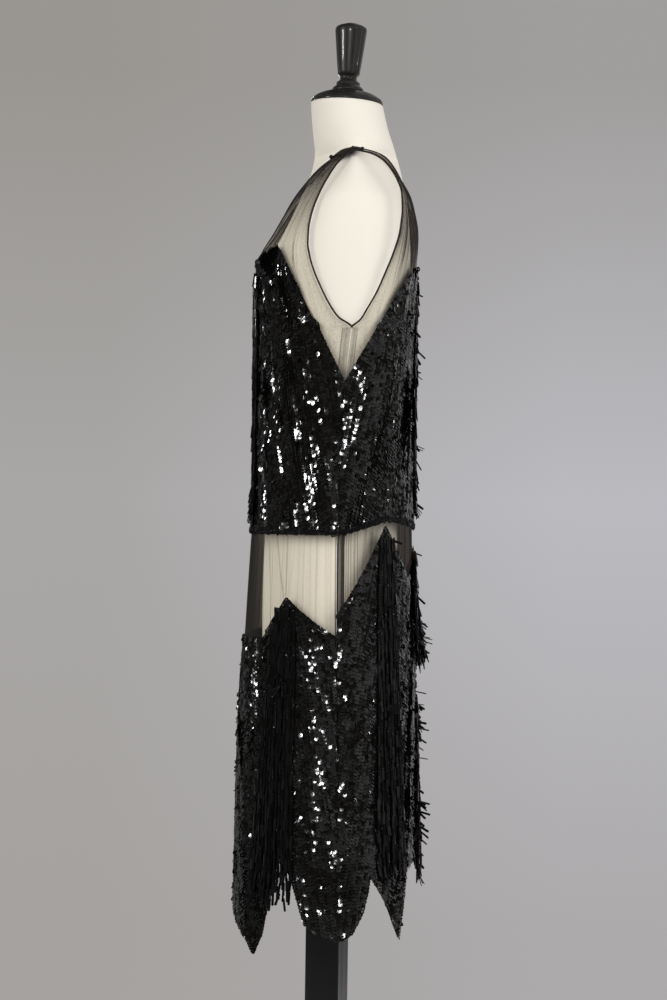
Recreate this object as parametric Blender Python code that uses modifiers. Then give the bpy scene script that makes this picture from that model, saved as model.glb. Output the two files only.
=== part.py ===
"""Flapper dress of net and sequins, with bar fringes, on a limbless dress form with a round base.

Metres, +Z up. The dress faces -Y, its wearer's left is +X, and the post's axis is X = Y = 0.
"""

import math

import bmesh
import bpy
import numpy as np

# Cloth walls and the gaps between pieces
SEQUIN_WALL = 0.0016
NET_WALL = 0.0012
SEAM_GAP = 0.0006
SLANT_GAP = 0.0012
LIFT = 0.0006
ROUNDNESS = 0.87
FLARE = 0.0035
MERGE = 0.00005
SLOPE_STEP = 0.01

# Outside of the dress from the hem to the armholes: level, y_front, y_back, half_width, y_side
TUBE = (
    (0.340, -0.1262, 0.1148, 0.1880, 0.0140),
    (0.458, -0.1256, 0.1148, 0.1840, 0.0125),
    (0.552, -0.1249, 0.1147, 0.1810, 0.0105),
    (0.687, -0.1222, 0.1127, 0.1760, 0.0090),
    (0.760, -0.1180, 0.1105, 0.1735, 0.0070),
    (0.822, -0.1148, 0.1085, 0.1722, 0.0055),
    (0.900, -0.1105, 0.1075, 0.1712, 0.0050),
    (0.984, -0.1060, 0.1050, 0.1700, 0.0070),
    (1.104, -0.1065, 0.1045, 0.1680, 0.0124),
)

FOOT = 1.176
SIDE_SEAM = [(row[0], row[4]) for row in TUBE] + [(FOOT, 0.0198)]

# Front above the armhole's foot: level, z_arm, x_neck, y_neck, x_arm, y_arm, sweep in degrees
FRONT_TOP = (
    (1.1760, 1.1760, 0.0000, -0.1070, 0.1655, 0.0198, 90.0),
    (1.1950, 1.1895, 0.0000, -0.1074, 0.1635, 0.0025, 80.0),
    (1.2150, 1.2070, 0.0000, -0.1076, 0.1610, -0.0098, 74.5),
    (1.2400, 1.2290, 0.0000, -0.1078, 0.1580, -0.0210, 69.0),
    (1.2620, 1.2500, 0.0000, -0.1074, 0.1555, -0.0300, 65.0),
    (1.2770, 1.2660, 0.0003, -0.1067, 0.1530, -0.0350, 62.0),
    (1.2815, 1.2710, 0.0045, -0.1045, 0.1520, -0.0360, 61.0),
    (1.2930, 1.2840, 0.0115, -0.0980, 0.1500, -0.0382, 60.0),
    (1.3110, 1.3030, 0.0205, -0.0860, 0.1465, -0.0376, 58.0),
    (1.3340, 1.3260, 0.0300, -0.0721, 0.1418, -0.0334, 54.0),
    (1.3570, 1.3490, 0.0395, -0.0583, 0.1340, -0.0256, 50.0),
    (1.3750, 1.3700, 0.0465, -0.0443, 0.1245, -0.0160, 46.0),
    (1.3970, 1.3930, 0.0560, -0.0234, 0.1135, -0.0025, 42.0),
    (1.4060, 1.4030, 0.0595, -0.0114, 0.1065, 0.0060, 40.0),
    (1.4195, 1.4115, 0.0640, 0.0070, 0.1015, 0.0148, 38.0),
    (1.4225, 1.4140, 0.0650, 0.0217, 0.1000, 0.0217, 36.0),
)

# Back above the armhole's foot, with the same columns
BACK_TOP = (
    (1.1760, 1.1760, 0.0000, 0.1045, 0.1655, 0.0198, 90.0),
    (1.1900, 1.1865, 0.0000, 0.1045, 0.1638, 0.0310, 83.0),
    (1.2050, 1.2030, 0.0000, 0.1048, 0.1610, 0.0407, 78.0),
    (1.2250, 1.2220, 0.0000, 0.1054, 0.1590, 0.0512, 73.0),
    (1.2500, 1.2470, 0.0000, 0.1064, 0.1560, 0.0617, 67.0),
    (1.2780, 1.2740, 0.0000, 0.1080, 0.1520, 0.0721, 62.0),
    (1.3050, 1.3020, 0.0000, 0.1085, 0.1470, 0.0799, 57.0),
    (1.3200, 1.3170, 0.0000, 0.1075, 0.1440, 0.0818, 55.0),
    (1.3330, 1.3300, 0.0130, 0.1045, 0.1410, 0.0829, 52.0),
    (1.3560, 1.3530, 0.0290, 0.0973, 0.1320, 0.0820, 48.0),
    (1.3830, 1.3710, 0.0440, 0.0835, 0.1245, 0.0766, 44.0),
    (1.4000, 1.3880, 0.0530, 0.0725, 0.1160, 0.0674, 42.0),
    (1.4125, 1.4020, 0.0590, 0.0600, 0.1070, 0.0551, 40.0),
    (1.4190, 1.4095, 0.0630, 0.0420, 0.1025, 0.0414, 38.0),
    (1.4225, 1.4140, 0.0650, 0.0219, 0.1000, 0.0219, 36.0),
)

# Where the sequins of the bodice stop and the net begins: y, z
FRONT_EDGE = ((-0.1067, 1.2770), (-0.0783, 1.2876), (0.0124, 1.1036))
BACK_EDGE = ((0.0124, 1.1036), (0.1003, 1.2620), (0.1075, 1.2680))
EDGE_LEVELS = (1.05, 1.32)
EDGE_HALVINGS = 40
FORK_LEVEL = 1.320

# Bodice hem, skirt top and skirt hem round each half: u from centre to side seam, z
FRONT_WAIST = ((0.0, 0.9140), (1.0, 0.9140))
BACK_WAIST = ((0.0, 0.9215), (0.4, 0.9290), (0.626, 0.9330), (0.8, 0.9240), (1.0, 0.9140))
FRONT_YOKE = ((0.0, 0.7710), (0.481, 0.7770), (0.590, 0.8060), (0.683, 0.8305), (1.0, 0.7830))
BACK_YOKE = ((0.0, 0.8970), (0.308, 0.8540), (0.626, 0.9236), (1.0, 0.8097))
FRONT_HEM = (
    (0.0, 0.4260), (0.08, 0.4120), (0.155, 0.4050), (0.332, 0.3970), (0.426, 0.3865), (0.487, 0.3736),
    (0.544, 0.3990), (0.590, 0.4380), (0.635, 0.4700), (0.683, 0.5080), (0.766, 0.4750), (0.843, 0.4200),
    (0.922, 0.4090), (1.0, 0.4015),
)
BACK_HEM = (
    (0.0, 0.4880), (0.2, 0.4900), (0.374, 0.4790), (0.430, 0.4400), (0.492, 0.3956), (0.560, 0.4200),
    (0.650, 0.4500), (0.738, 0.4735), (0.773, 0.4880), (0.800, 0.4600), (0.840, 0.4340), (0.926, 0.4090),
    (1.0, 0.4015),
)

# Where the skirt's points swing out (1) and its notches draw in (-1): u, swing
FRONT_SWING = ((0.0, -0.6), (0.487, 1.0), (0.683, -1.0), (1.0, 0.8))
BACK_SWING = ((0.0, -0.6), (0.492, 1.0), (0.773, -1.0), (1.0, 0.8))
SWING_TOP = 0.72
SWING_POWER = 1.5

# Columns of each panel's half
FRONT_TOP_US = (0.0, 0.14, 0.28, 0.42, 0.52, 0.615, 0.71, 0.81, 0.91, 1.0)
BACK_TOP_US = (0.0, 0.13, 0.26, 0.39, 0.51, 0.63, 0.75, 0.87, 1.0)
FRONT_SKIRT_US = (
    0.0, 0.08, 0.155, 0.24, 0.332, 0.426, 0.487, 0.544, 0.590, 0.635, 0.683, 0.725, 0.766, 0.805,
    0.843, 0.922, 0.963, 1.0,
)
BACK_SKIRT_US = (
    0.0, 0.10, 0.20, 0.308, 0.374, 0.430, 0.492, 0.560, 0.626, 0.680, 0.738, 0.773, 0.800, 0.840,
    0.926, 0.963, 1.0,
)
SKIRT_ROWS = 9
BODICE_ROWS = 11
YOKE_SIDE_ROWS = 3
YOKE_ARM_ROWS = 12

# Gathers of the hip net: depth, share of it up the band, how unevenly it varies, height of a full gather
GATHER = 0.0022
GATHER_PROFILE = (0.0, 0.8, 0.8, 0.0)
GATHER_VARIATION = 0.4
GATHER_RHYTHM = 5.1
GATHER_HEIGHT = 0.06

# Beaded edging of the bodice hem, and the tabs over the shoulder seams
EDGING_HEIGHT = 0.0035
EDGING_THICKNESS = 0.0012
TAB_US = (0.04, 0.96, 4)
TAB_REACH = 0.004
TAB_THICKNESS = 0.001
TAB_CREST = 0.0006

# Rolled bindings: radius, gap to the cloth's edge, rise over the lowest points of the neckline
BINDING_RADIUS = 0.0011
BINDING_GAP = 0.0006
FRONT_DIP_RISE = 0.0022
BACK_DIP_RISE = 0.0012

# Fringe strips and their strands of flat bars
STRIP_HEIGHT = 0.005
BAR_HALF_WIDTH = 0.0011
BAR_THICKNESS = 0.0014
STRAND_WANDER = 0.0006
LAYER_SPREAD = 0.0008
LONG_STRAND = 0.25
SPREAD_POWER = 0.8
LIFT_POWER = 1.4
RING_COLUMNS = 201

# Fringes: side, centre, strands, layers, top level, levels of the ends, widths at strip and tips,
# lift of the tips
CENTRE_FRINGES = {
    "fringe_bodice_front": ("front", 0.0, 18, 1, 1.2640, (0.924, 0.932), (0.120, 0.124), 0.0008),
    "fringe_bodice_back": ("back", 0.0, 12, 1, 1.2560, (0.934, 0.944), (0.076, 0.080), 0.0010),
    "fringe_back_upper": ("back", 0.0, 16, 1, 0.8930, (0.730, 0.742), (0.096, 0.112), 0.0150),
    "fringe_back_lower": ("back", 0.0, 16, 1, 0.7010, (0.4445, 0.4560), (0.096, 0.112), 0.0065),
}
PAIRED_FRINGES = {
    "fringe_front": ("front", 0.664, 10, 2, 0.8240, (0.436, 0.470), (0.026, 0.056), 0.002),
    "fringe_side": ("back", 0.615, 10, 2, 0.9130, (0.4676, 0.486), (0.026, 0.054), 0.002),
}

# Dress form: level, y_front, y_back, half_width, y_side, roundness
BODY = (
    (0.700, -0.0860, 0.0820, 0.1480, 0.0040, 0.87),
    (0.712, -0.0895, 0.0855, 0.1530, 0.0040, 0.87),
    (0.750, -0.0925, 0.0890, 0.1580, 0.0040, 0.87),
    (0.810, -0.0935, 0.0900, 0.1600, 0.0040, 0.87),
    (0.877, -0.0925, 0.0870, 0.1590, 0.0040, 0.87),
    (0.930, -0.0900, 0.0850, 0.1530, 0.0045, 0.87),
    (0.985, -0.0880, 0.0840, 0.1440, 0.0060, 0.87),
    (1.040, -0.0900, 0.0870, 0.1430, 0.0080, 0.87),
    (1.110, -0.0955, 0.0930, 0.1510, 0.0110, 0.87),
    (1.176, -0.1000, 0.0970, 0.1580, 0.0170, 0.87),
    (1.230, -0.0995, 0.0985, 0.1570, 0.0195, 0.86),
    (1.275, -0.0900, 0.0985, 0.1540, 0.0210, 0.78),
    (1.311, -0.0725, 0.0970, 0.1500, 0.0210, 0.74),
    (1.340, -0.0585, 0.0945, 0.1440, 0.0210, 0.78),
    (1.365, -0.0490, 0.0915, 0.1360, 0.0210, 1.02),
    (1.385, -0.0425, 0.0880, 0.1260, 0.0212, 1.40),
    (1.398, -0.0365, 0.0850, 0.1140, 0.0213, 1.60),
    (1.406, -0.0345, 0.0830, 0.1055, 0.0214, 1.75),
    (1.412, -0.0332, 0.0812, 0.0960, 0.0215, 1.90),
    (1.417, -0.0326, 0.0797, 0.0790, 0.0215, 1.95),
    (1.4205, -0.0322, 0.0785, 0.0610, 0.0214, 1.70),
    (1.428, -0.0320, 0.0765, 0.0535, 0.0205, 1.25),
    (1.440, -0.0335, 0.0725, 0.0510, 0.0180, 1.03),
    (1.457, -0.0356, 0.0670, 0.0505, 0.0135, 1.00),
    (1.475, -0.0372, 0.0625, 0.0495, 0.0115, 1.00),
    (1.491, -0.0383, 0.0589, 0.0490, 0.0103, 1.00),
)
BODY_SEGMENTS = 24
NECK_TILT = math.radians(2.4)
TILT_START = 1.44
TILT_RISE = 0.035
NECK_CENTRE = (0.0, 0.0103, 1.4910)

# Turned pieces over the neck: radius, height
CAP = ((0.0, 0.0), (0.0486, 0.0), (0.0486, 0.0025), (0.0462, 0.0070), (0.0400, 0.0115), (0.0310, 0.0150),
       (0.0222, 0.0168), (0.0, 0.0168))
FINIAL = ((0.0, 0.0), (0.0213, 0.0), (0.0213, 0.0030), (0.0190, 0.0060), (0.0157, 0.0085), (0.0157, 0.0125),
          (0.0112, 0.0160), (0.0112, 0.0205), (0.0146, 0.0235), (0.0168, 0.0400), (0.0205, 0.0740),
          (0.0213, 0.0830), (0.0200, 0.0870), (0.0092, 0.0918), (0.0, 0.0918))
BASE = ((0.0, 0.0), (0.2100, 0.0), (0.2100, 0.0140), (0.2040, 0.0200), (0.0, 0.0200))
CAP_SEGMENTS = 24
BASE_SEGMENTS = 48
POST_SIDE = 0.0466
POST_TURN = math.radians(-17.0)
POST_ARRIS = 0.002
REST_GAP = 0.0003


# Shared shape helpers


def smooth(knots, values, at):
    """Monotone cubic through the rows of a table."""
    knots = np.asarray(knots, float)
    values = np.asarray(values, float)
    step = np.diff(knots)
    rise = np.diff(values, axis=0) / step[:, None]
    slope = np.zeros_like(values)
    product = rise[:-1] * rise[1:]
    first = 2 * step[1:, None] + step[:-1, None]
    second = step[1:, None] + 2 * step[:-1, None]
    safe = product > 0
    lower = np.where(safe, rise[:-1], 1.0)
    upper = np.where(safe, rise[1:], 1.0)
    slope[1:-1] = np.where(safe, (first + second) / (first / lower + second / upper), 0.0)
    slope[0] = rise[0]
    slope[-1] = rise[-1]
    at = np.clip(np.asarray(at, float), knots[0], knots[-1])
    cell = np.clip(np.searchsorted(knots, at, side="right") - 1, 0, len(step) - 1)
    width = step[cell][..., None]
    t = ((at - knots[cell]) / step[cell])[..., None]
    start = values[cell]
    end = values[cell + 1]
    return (
        start * (1 + 2 * t) * (1 - t) ** 2
        + end * t * t * (3 - 2 * t)
        + width * (slope[cell] * t * (1 - t) ** 2 - slope[cell + 1] * t * t * (1 - t))
    )


def along(pairs, at):
    pairs = np.asarray(pairs)
    return np.interp(at, pairs[:, 0], pairs[:, 1])


def half_table(side):
    """Rows of one half of the dress, and how far up the cloth each one is."""
    tube_y = {"front": 1, "back": 2}[side]
    top = {"front": FRONT_TOP, "back": BACK_TOP}[side]
    rows = [(row[0], row[0], 0.0, row[tube_y], row[3], row[4], 90.0) for row in TUBE]
    rows = np.array(rows + list(top))
    neck = rows[:, [2, 3, 0]]
    arm = rows[:, [4, 5, 1]]
    steps = np.linalg.norm(np.diff((neck + arm) / 2, axis=0), axis=1)
    return rows, np.concatenate([[0.0], np.cumsum(steps)])


TABLES = {side: half_table(side) for side in ("front", "back")}
OUTWARD = {"front": 1.0, "back": -1.0}
NUDGE = {"front": -SEAM_GAP / 2, "back": SEAM_GAP / 2}


def height_of(side, level):
    """How far up the cloth the row with this level lies."""
    rows, lengths = TABLES[side]
    return np.interp(level, rows[:, 0], lengths)


def plain_shell(side, u, s):
    rows, lengths = TABLES[side]
    u, s = np.broadcast_arrays(np.asarray(u, float), np.asarray(s, float))
    level, z_arm, x_neck, y_neck, x_arm, y_arm, sweep = np.moveaxis(smooth(lengths, rows, s), -1, 0)
    y_arm = np.where(level < FOOT, along(SIDE_SEAM, level), y_arm)
    sweep = np.radians(sweep)
    turn = np.abs(u) * sweep
    across = (np.sin(turn) / np.sin(sweep)) ** ROUNDNESS
    full = 1 - np.clip(np.cos(sweep), 0, 1) ** ROUNDNESS
    deep = (1 - np.clip(np.cos(turn), 0, 1) ** ROUNDNESS) / full
    x = np.where(u < 0, -1.0, 1.0) * (x_neck + (x_arm - x_neck) * across)
    y = y_neck + (y_arm - y_neck) * deep + NUDGE[side]
    z = level + (z_arm - level) * across
    return np.stack([x, y, z], axis=-1)


def shell(side, u, s, out=0.0):
    """Outside of the dress at u from the centre line to the side seam and s up the cloth, moved out."""
    u = np.asarray(u, float)
    s = np.asarray(s, float)
    right = plain_shell(side, np.minimum(u + SLOPE_STEP, 1), s)
    across = right - plain_shell(side, np.maximum(u - SLOPE_STEP, -1), s)
    up = plain_shell(side, u, s + SLOPE_STEP / 2) - plain_shell(side, u, s - SLOPE_STEP / 2)
    normal = np.cross(across, up) * OUTWARD[side]
    normal /= np.linalg.norm(normal, axis=-1, keepdims=True)
    return plain_shell(side, u, s) + normal * np.asarray(out)[..., None]


def sequin_edge(side, u):
    """How far up the cloth the sequins of the bodice reach in this column."""
    edge = {"front": FRONT_EDGE, "back": BACK_EDGE}[side]
    low, high = (height_of(side, level) for level in EDGE_LEVELS)
    for _ in range(EDGE_HALVINGS):
        middle = (low + high) / 2
        point = plain_shell(side, u, middle)
        if point[2] < along(edge, point[1]):
            low = middle
        else:
            high = middle
    return low


def material_of(name, colour, roughness, metallic=0.0):
    material = bpy.data.materials.get(name) or bpy.data.materials.new(name)
    material.use_nodes = True
    shader = material.node_tree.nodes["Principled BSDF"]
    shader.inputs["Base Color"].default_value = (*colour, 1.0)
    shader.inputs["Roughness"].default_value = roughness
    shader.inputs["Metallic"].default_value = metallic
    return material


def object_of(name, points, faces, material):
    mesh = bpy.data.meshes.new(name)
    mesh.from_pydata([tuple(float(value) for value in point) for point in points], [], faces)
    mesh.validate()
    mesh.materials.append(material)
    made = bpy.data.objects.new(name, mesh)
    collection.objects.link(made)
    return made


def face_outward(made):
    shape = bmesh.new()
    shape.from_mesh(made.data)
    bmesh.ops.recalc_face_normals(shape, faces=shape.faces)
    shape.to_mesh(made.data)
    shape.free()


def panel(name, outside, inside, material, mirrored=True, flipped=False):
    """One cut piece of cloth between the outer and inner points of its half, columns first."""
    columns, rows = outside.shape[:2]
    points = np.concatenate([outside.reshape(-1, 3), inside.reshape(-1, 3)])
    layer = columns * rows
    faces = []
    for i in range(columns - 1):
        for j in range(rows - 1):
            a = i * rows + j
            faces.append((a, a + rows, a + rows + 1, a + 1))
            faces.append((layer + a, layer + a + 1, layer + a + rows + 1, layer + a + rows))
    bottom = [i * rows for i in range(columns)]
    top = [i * rows + rows - 1 for i in range(columns)]
    centre = list(range(rows))
    seam = [(columns - 1) * rows + j for j in range(rows)]
    if mirrored:
        centre = [k for k in centre if points[k][0] > MERGE or (k < rows - 1 and points[k + 1][0] > MERGE)]
    for edge in (bottom, top, centre, seam):
        for a, b in zip(edge, edge[1:]):
            faces.append((a, b, layer + b, layer + a))
    if flipped:
        points[:, 0] *= -1
    made = object_of(name, points, faces, material)
    if mirrored:
        mirror = made.modifiers.new("Mirror", "MIRROR")
        mirror.merge_threshold = MERGE
    face_outward(made)
    return made


def turned(name, profile, segments, material):
    """A turned piece from its profile of radius and height."""
    points = [(radius, 0.0, height) for radius, height in profile]
    mesh = bpy.data.meshes.new(name)
    mesh.from_pydata(points, [(i, i + 1) for i in range(len(points) - 1)], [])
    mesh.materials.append(material)
    made = bpy.data.objects.new(name, mesh)
    collection.objects.link(made)
    screw = made.modifiers.new("Turn", "SCREW")
    screw.steps = segments
    screw.render_steps = segments
    screw.use_merge_vertices = True
    screw.merge_threshold = 2 * MERGE
    screw.use_normal_calculate = True
    screw.use_smooth_shade = False
    return made


def rod(name, path, radius, material):
    """A closed ring of four-sided rod along a loop of points, with the directions out of the cloth."""
    centres, outs = path
    ahead = np.roll(centres, -1, axis=0) - np.roll(centres, 1, axis=0)
    ahead /= np.linalg.norm(ahead, axis=1, keepdims=True)
    sides = np.cross(ahead, outs)
    sides /= np.linalg.norm(sides, axis=1, keepdims=True)
    outs = np.cross(sides, ahead)
    corners = [centres + radius * way for way in (outs, sides, -outs, -sides)]
    count = len(centres)
    points = np.stack(corners, axis=1).reshape(-1, 3)
    faces = []
    for i in range(count):
        for k in range(4):
            following = (i + 1) % count
            faces.append((4 * i + k, 4 * i + (k + 1) % 4, 4 * following + (k + 1) % 4, 4 * following + k))
    made = object_of(name, points, faces, material)
    face_outward(made)
    return made


# Scene and materials

for leftover in list(bpy.data.objects):
    bpy.data.objects.remove(leftover, do_unlink=True)

collection = bpy.data.collections.new("flapper_dress")
bpy.context.scene.collection.children.link(collection)

black_sequins = material_of("black_sequins", (0.012, 0.012, 0.013), 0.25)
black_net = material_of("black_net", (0.02, 0.02, 0.021), 0.8)
black_bars = material_of("black_bars", (0.01, 0.01, 0.011), 0.18)
black_binding = material_of("black_binding", (0.015, 0.015, 0.015), 0.7)
ivory_jersey = material_of("ivory_jersey", (0.86, 0.82, 0.72), 0.85)
black_wood = material_of("black_wood", (0.012, 0.011, 0.01), 0.3)


# Bodice: sequined front and back, from the dropped waist up to the armholes


def wall_of(side, columns, thickness, lifts=0.0):
    """Outer and inner points of a cloth from its columns of (u, heights up the cloth)."""
    us = np.array([[u] * len(heights) for u, heights in columns])
    heights = np.array([heights for u, heights in columns])
    outside = shell(side, us, heights, lifts)
    inside = shell(side, us, heights, np.asarray(lifts) - thickness)
    return outside, inside


def onto_centre(*grids):
    for grid in grids:
        grid[0][:, 0] = 0.0
    return grids


def bodice(side, us, waist):
    columns = []
    for u in us:
        bottom = height_of(side, along(waist, u))
        columns.append((u, np.linspace(bottom, sequin_edge(side, u), BODICE_ROWS)))
    return onto_centre(*wall_of(side, columns, SEQUIN_WALL))


panel("bodice_front", *bodice("front", FRONT_TOP_US, FRONT_WAIST), black_sequins)
panel("bodice_back", *bodice("back", BACK_TOP_US, BACK_WAIST), black_sequins)


# Net yokes: two halves in front and one piece behind, up over the shoulders


def yoke(side, us):
    foot = height_of(side, FOOT)
    end = TABLES[side][1][-1]
    fork = height_of(side, FORK_LEVEL)
    side_start = sequin_edge(side, 1.0) + SLANT_GAP
    split = (foot - side_start) / (end - side_start)
    below = np.linspace(0, split, YOKE_SIDE_ROWS, endpoint=False)
    fractions = np.concatenate([below, np.linspace(split, 1, YOKE_ARM_ROWS)])
    columns = []
    for u in us:
        start = sequin_edge(side, u) + SLANT_GAP
        heights = start + (end - start) * fractions
        if side == "back" and u == 0.0:
            row = np.argmin(np.abs(heights - fork))
            heights = np.concatenate([
                np.linspace(start, fork, row + 1),
                fork + (end - fork) * (fractions[row + 1:] - fractions[row]) / (1 - fractions[row]),
            ])
        columns.append((u, heights))
    return wall_of(side, columns, NET_WALL)


front_yoke, front_yoke_inside = yoke("front", FRONT_TOP_US)
for grid in (front_yoke, front_yoke_inside):
    grid[0][:, 0] = np.maximum(grid[0][:, 0], SEAM_GAP)
back_yoke, back_yoke_inside = yoke("back", BACK_TOP_US)
forked = back_yoke[0][:, 0] > 2 * MERGE
back_yoke_inside[0][:, 0] = np.where(forked, back_yoke_inside[0][:, 0], 0.0)
back_yoke[0][:, 0] = np.where(forked, back_yoke[0][:, 0], 0.0)
panel("yoke_front_left", front_yoke, front_yoke_inside, black_net, mirrored=False)
panel("yoke_front_right", front_yoke, front_yoke_inside, black_net, mirrored=False, flipped=True)
panel("yoke_back", back_yoke, back_yoke_inside, black_net)


# Hip bands: gathered net between the bodice and the skirt


def hip_net(side, skirt_us, waist, skirt_top):
    knots = np.arange(2 * len(skirt_us) - 1) / 2
    us = np.interp(knots, np.arange(len(skirt_us)), skirt_us)
    profile = np.array(GATHER_PROFILE)
    columns = []
    depths = []
    for index, u in enumerate(us):
        top = height_of(side, along(waist, u)) - SLANT_GAP
        bottom = height_of(side, along(skirt_top, u)) + SLANT_GAP
        columns.append((u, np.linspace(bottom, top, len(profile))))
        uneven = 1 + GATHER_VARIATION * math.sin(GATHER_RHYTHM * index)
        depth = GATHER * (index % 2) * uneven * min(1.0, (top - bottom) / GATHER_HEIGHT)
        depths.append(-depth * profile)
    return onto_centre(*wall_of(side, columns, NET_WALL, np.array(depths)))


panel("hip_net_front", *hip_net("front", FRONT_SKIRT_US, FRONT_WAIST, FRONT_YOKE), black_net)
panel("hip_net_back", *hip_net("back", BACK_SKIRT_US, BACK_WAIST, BACK_YOKE), black_net)


# Skirt: sequined front and back with their handkerchief points


def skirt(side, us, skirt_top, hem, swing):
    columns = []
    lifts = []
    drop = height_of(side, SWING_TOP)
    for u in us:
        top = height_of(side, along(skirt_top, u))
        heights = np.linspace(height_of(side, along(hem, u)), top, SKIRT_ROWS)
        columns.append((u, heights))
        lifts.append(FLARE * np.clip(1 - heights / drop, 0, 1) ** SWING_POWER * along(swing, u))
    return onto_centre(*wall_of(side, columns, SEQUIN_WALL, np.array(lifts)))


panel("skirt_front", *skirt("front", FRONT_SKIRT_US, FRONT_YOKE, FRONT_HEM, FRONT_SWING), black_sequins)
panel("skirt_back", *skirt("back", BACK_SKIRT_US, BACK_YOKE, BACK_HEM, BACK_SWING), black_sequins)


# Beaded edging outside the bodice hem


def edging(side, us, waist):
    columns = []
    for u in us:
        bottom = height_of(side, along(waist, u))
        columns.append((u, np.array([bottom, bottom + EDGING_HEIGHT])))
    return onto_centre(*wall_of(side, columns, EDGING_THICKNESS, LIFT + EDGING_THICKNESS))


panel("edging_front", *edging("front", FRONT_TOP_US, FRONT_WAIST), black_binding)
panel("edging_back", *edging("back", BACK_TOP_US, BACK_WAIST), black_binding)


# Bindings: one ring round each armhole and one round the neck


def binding_path(edge, cloth_side):
    """Ring beside an edge, where cloth_side holds for each point a direction that leads into the cloth."""
    ahead = np.roll(edge, -1, axis=0) - np.roll(edge, 1, axis=0)
    ahead /= np.linalg.norm(ahead, axis=1, keepdims=True)
    away = -(cloth_side - ahead * np.sum(cloth_side * ahead, axis=1, keepdims=True))
    away /= np.linalg.norm(away, axis=1, keepdims=True)
    return edge + away * (BINDING_RADIUS + BINDING_GAP), away


def inner_of(grid, column, towards, rows):
    return grid[column][rows], grid[towards][rows] - grid[column][rows]


arm_rows = slice(YOKE_SIDE_ROWS, None)
front_edge, front_in = inner_of(front_yoke, -1, -2, arm_rows)
back_edge, back_in = inner_of(back_yoke, -1, -2, arm_rows)
down = np.array([0.0, 0.0, -1.0])
front_in[0] = down
back_in[0] = down
arm_edge = np.concatenate([(front_edge[:1] + back_edge[:1]) / 2, front_edge[1:], back_edge[1:-1][::-1]])
arm_in = np.concatenate([front_in, back_in[1:-1][::-1]])
arm_path = binding_path(arm_edge, arm_in)
rod("armhole_binding_left", arm_path, BINDING_RADIUS, black_binding)
flip = np.array([-1.0, 1.0, 1.0])
rod("armhole_binding_right", (arm_path[0] * flip, arm_path[1] * flip), BINDING_RADIUS, black_binding)

neck_front, neck_front_in = inner_of(front_yoke, 0, 1, slice(None))
fork_row = int(np.argmax(back_yoke[0][:, 0] > 2 * MERGE)) - 1
neck_back, neck_back_in = inner_of(back_yoke, 0, 1, slice(fork_row, None))
left_edge = np.concatenate([neck_front[1:], neck_back[1:-1][::-1]])
left_in = np.concatenate([neck_front_in[1:], neck_back_in[1:-1][::-1]])
front_dip = np.array([[0.0, neck_front[0][1], neck_front[0][2] + FRONT_DIP_RISE]])
back_dip = np.array([[0.0, neck_back[0][1], neck_back[0][2] + BACK_DIP_RISE]])
neck_edge = np.concatenate([front_dip, left_edge, back_dip, (left_edge * flip)[::-1]])
neck_in = np.concatenate([down[None], left_in, down[None], (left_in * flip)[::-1]])
rod("neck_binding", binding_path(neck_edge, neck_in), BINDING_RADIUS, black_binding)


# Shoulder tabs over the shoulder seams


def tab(out):
    us = np.linspace(*TAB_US)
    front = shell("front", us, TABLES["front"][1][-1] - TAB_REACH, out)
    back = shell("back", us, TABLES["back"][1][-1] - TAB_REACH, out)
    crest = (front + back) / 2
    crest[:, 2] += TAB_CREST
    return np.stack([front, crest, back], axis=1)


for name, flipped in (("shoulder_tab_left", False), ("shoulder_tab_right", True)):
    panel(name, tab(LIFT + TAB_THICKNESS), tab(LIFT), black_binding, mirrored=False, flipped=flipped)


# Fringes: flat bar strands hanging from narrow backing strips


def arc_to_u(side, s, arcs):
    """Columns that lie these distances round the cloth from the centre line, at s up the cloth."""
    us = np.linspace(-1, 1, 2 * RING_COLUMNS - 1)
    ring = plain_shell(side, us, s)
    lengths = np.concatenate([[0.0], np.cumsum(np.linalg.norm(np.diff(ring, axis=0), axis=1))])
    lengths -= lengths[RING_COLUMNS - 1]
    return np.interp(arcs, lengths, us)


def arc_of(side, s, u):
    us = np.linspace(0, u, RING_COLUMNS)
    return np.linalg.norm(np.diff(plain_shell(side, us, s), axis=0), axis=1).sum()


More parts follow.
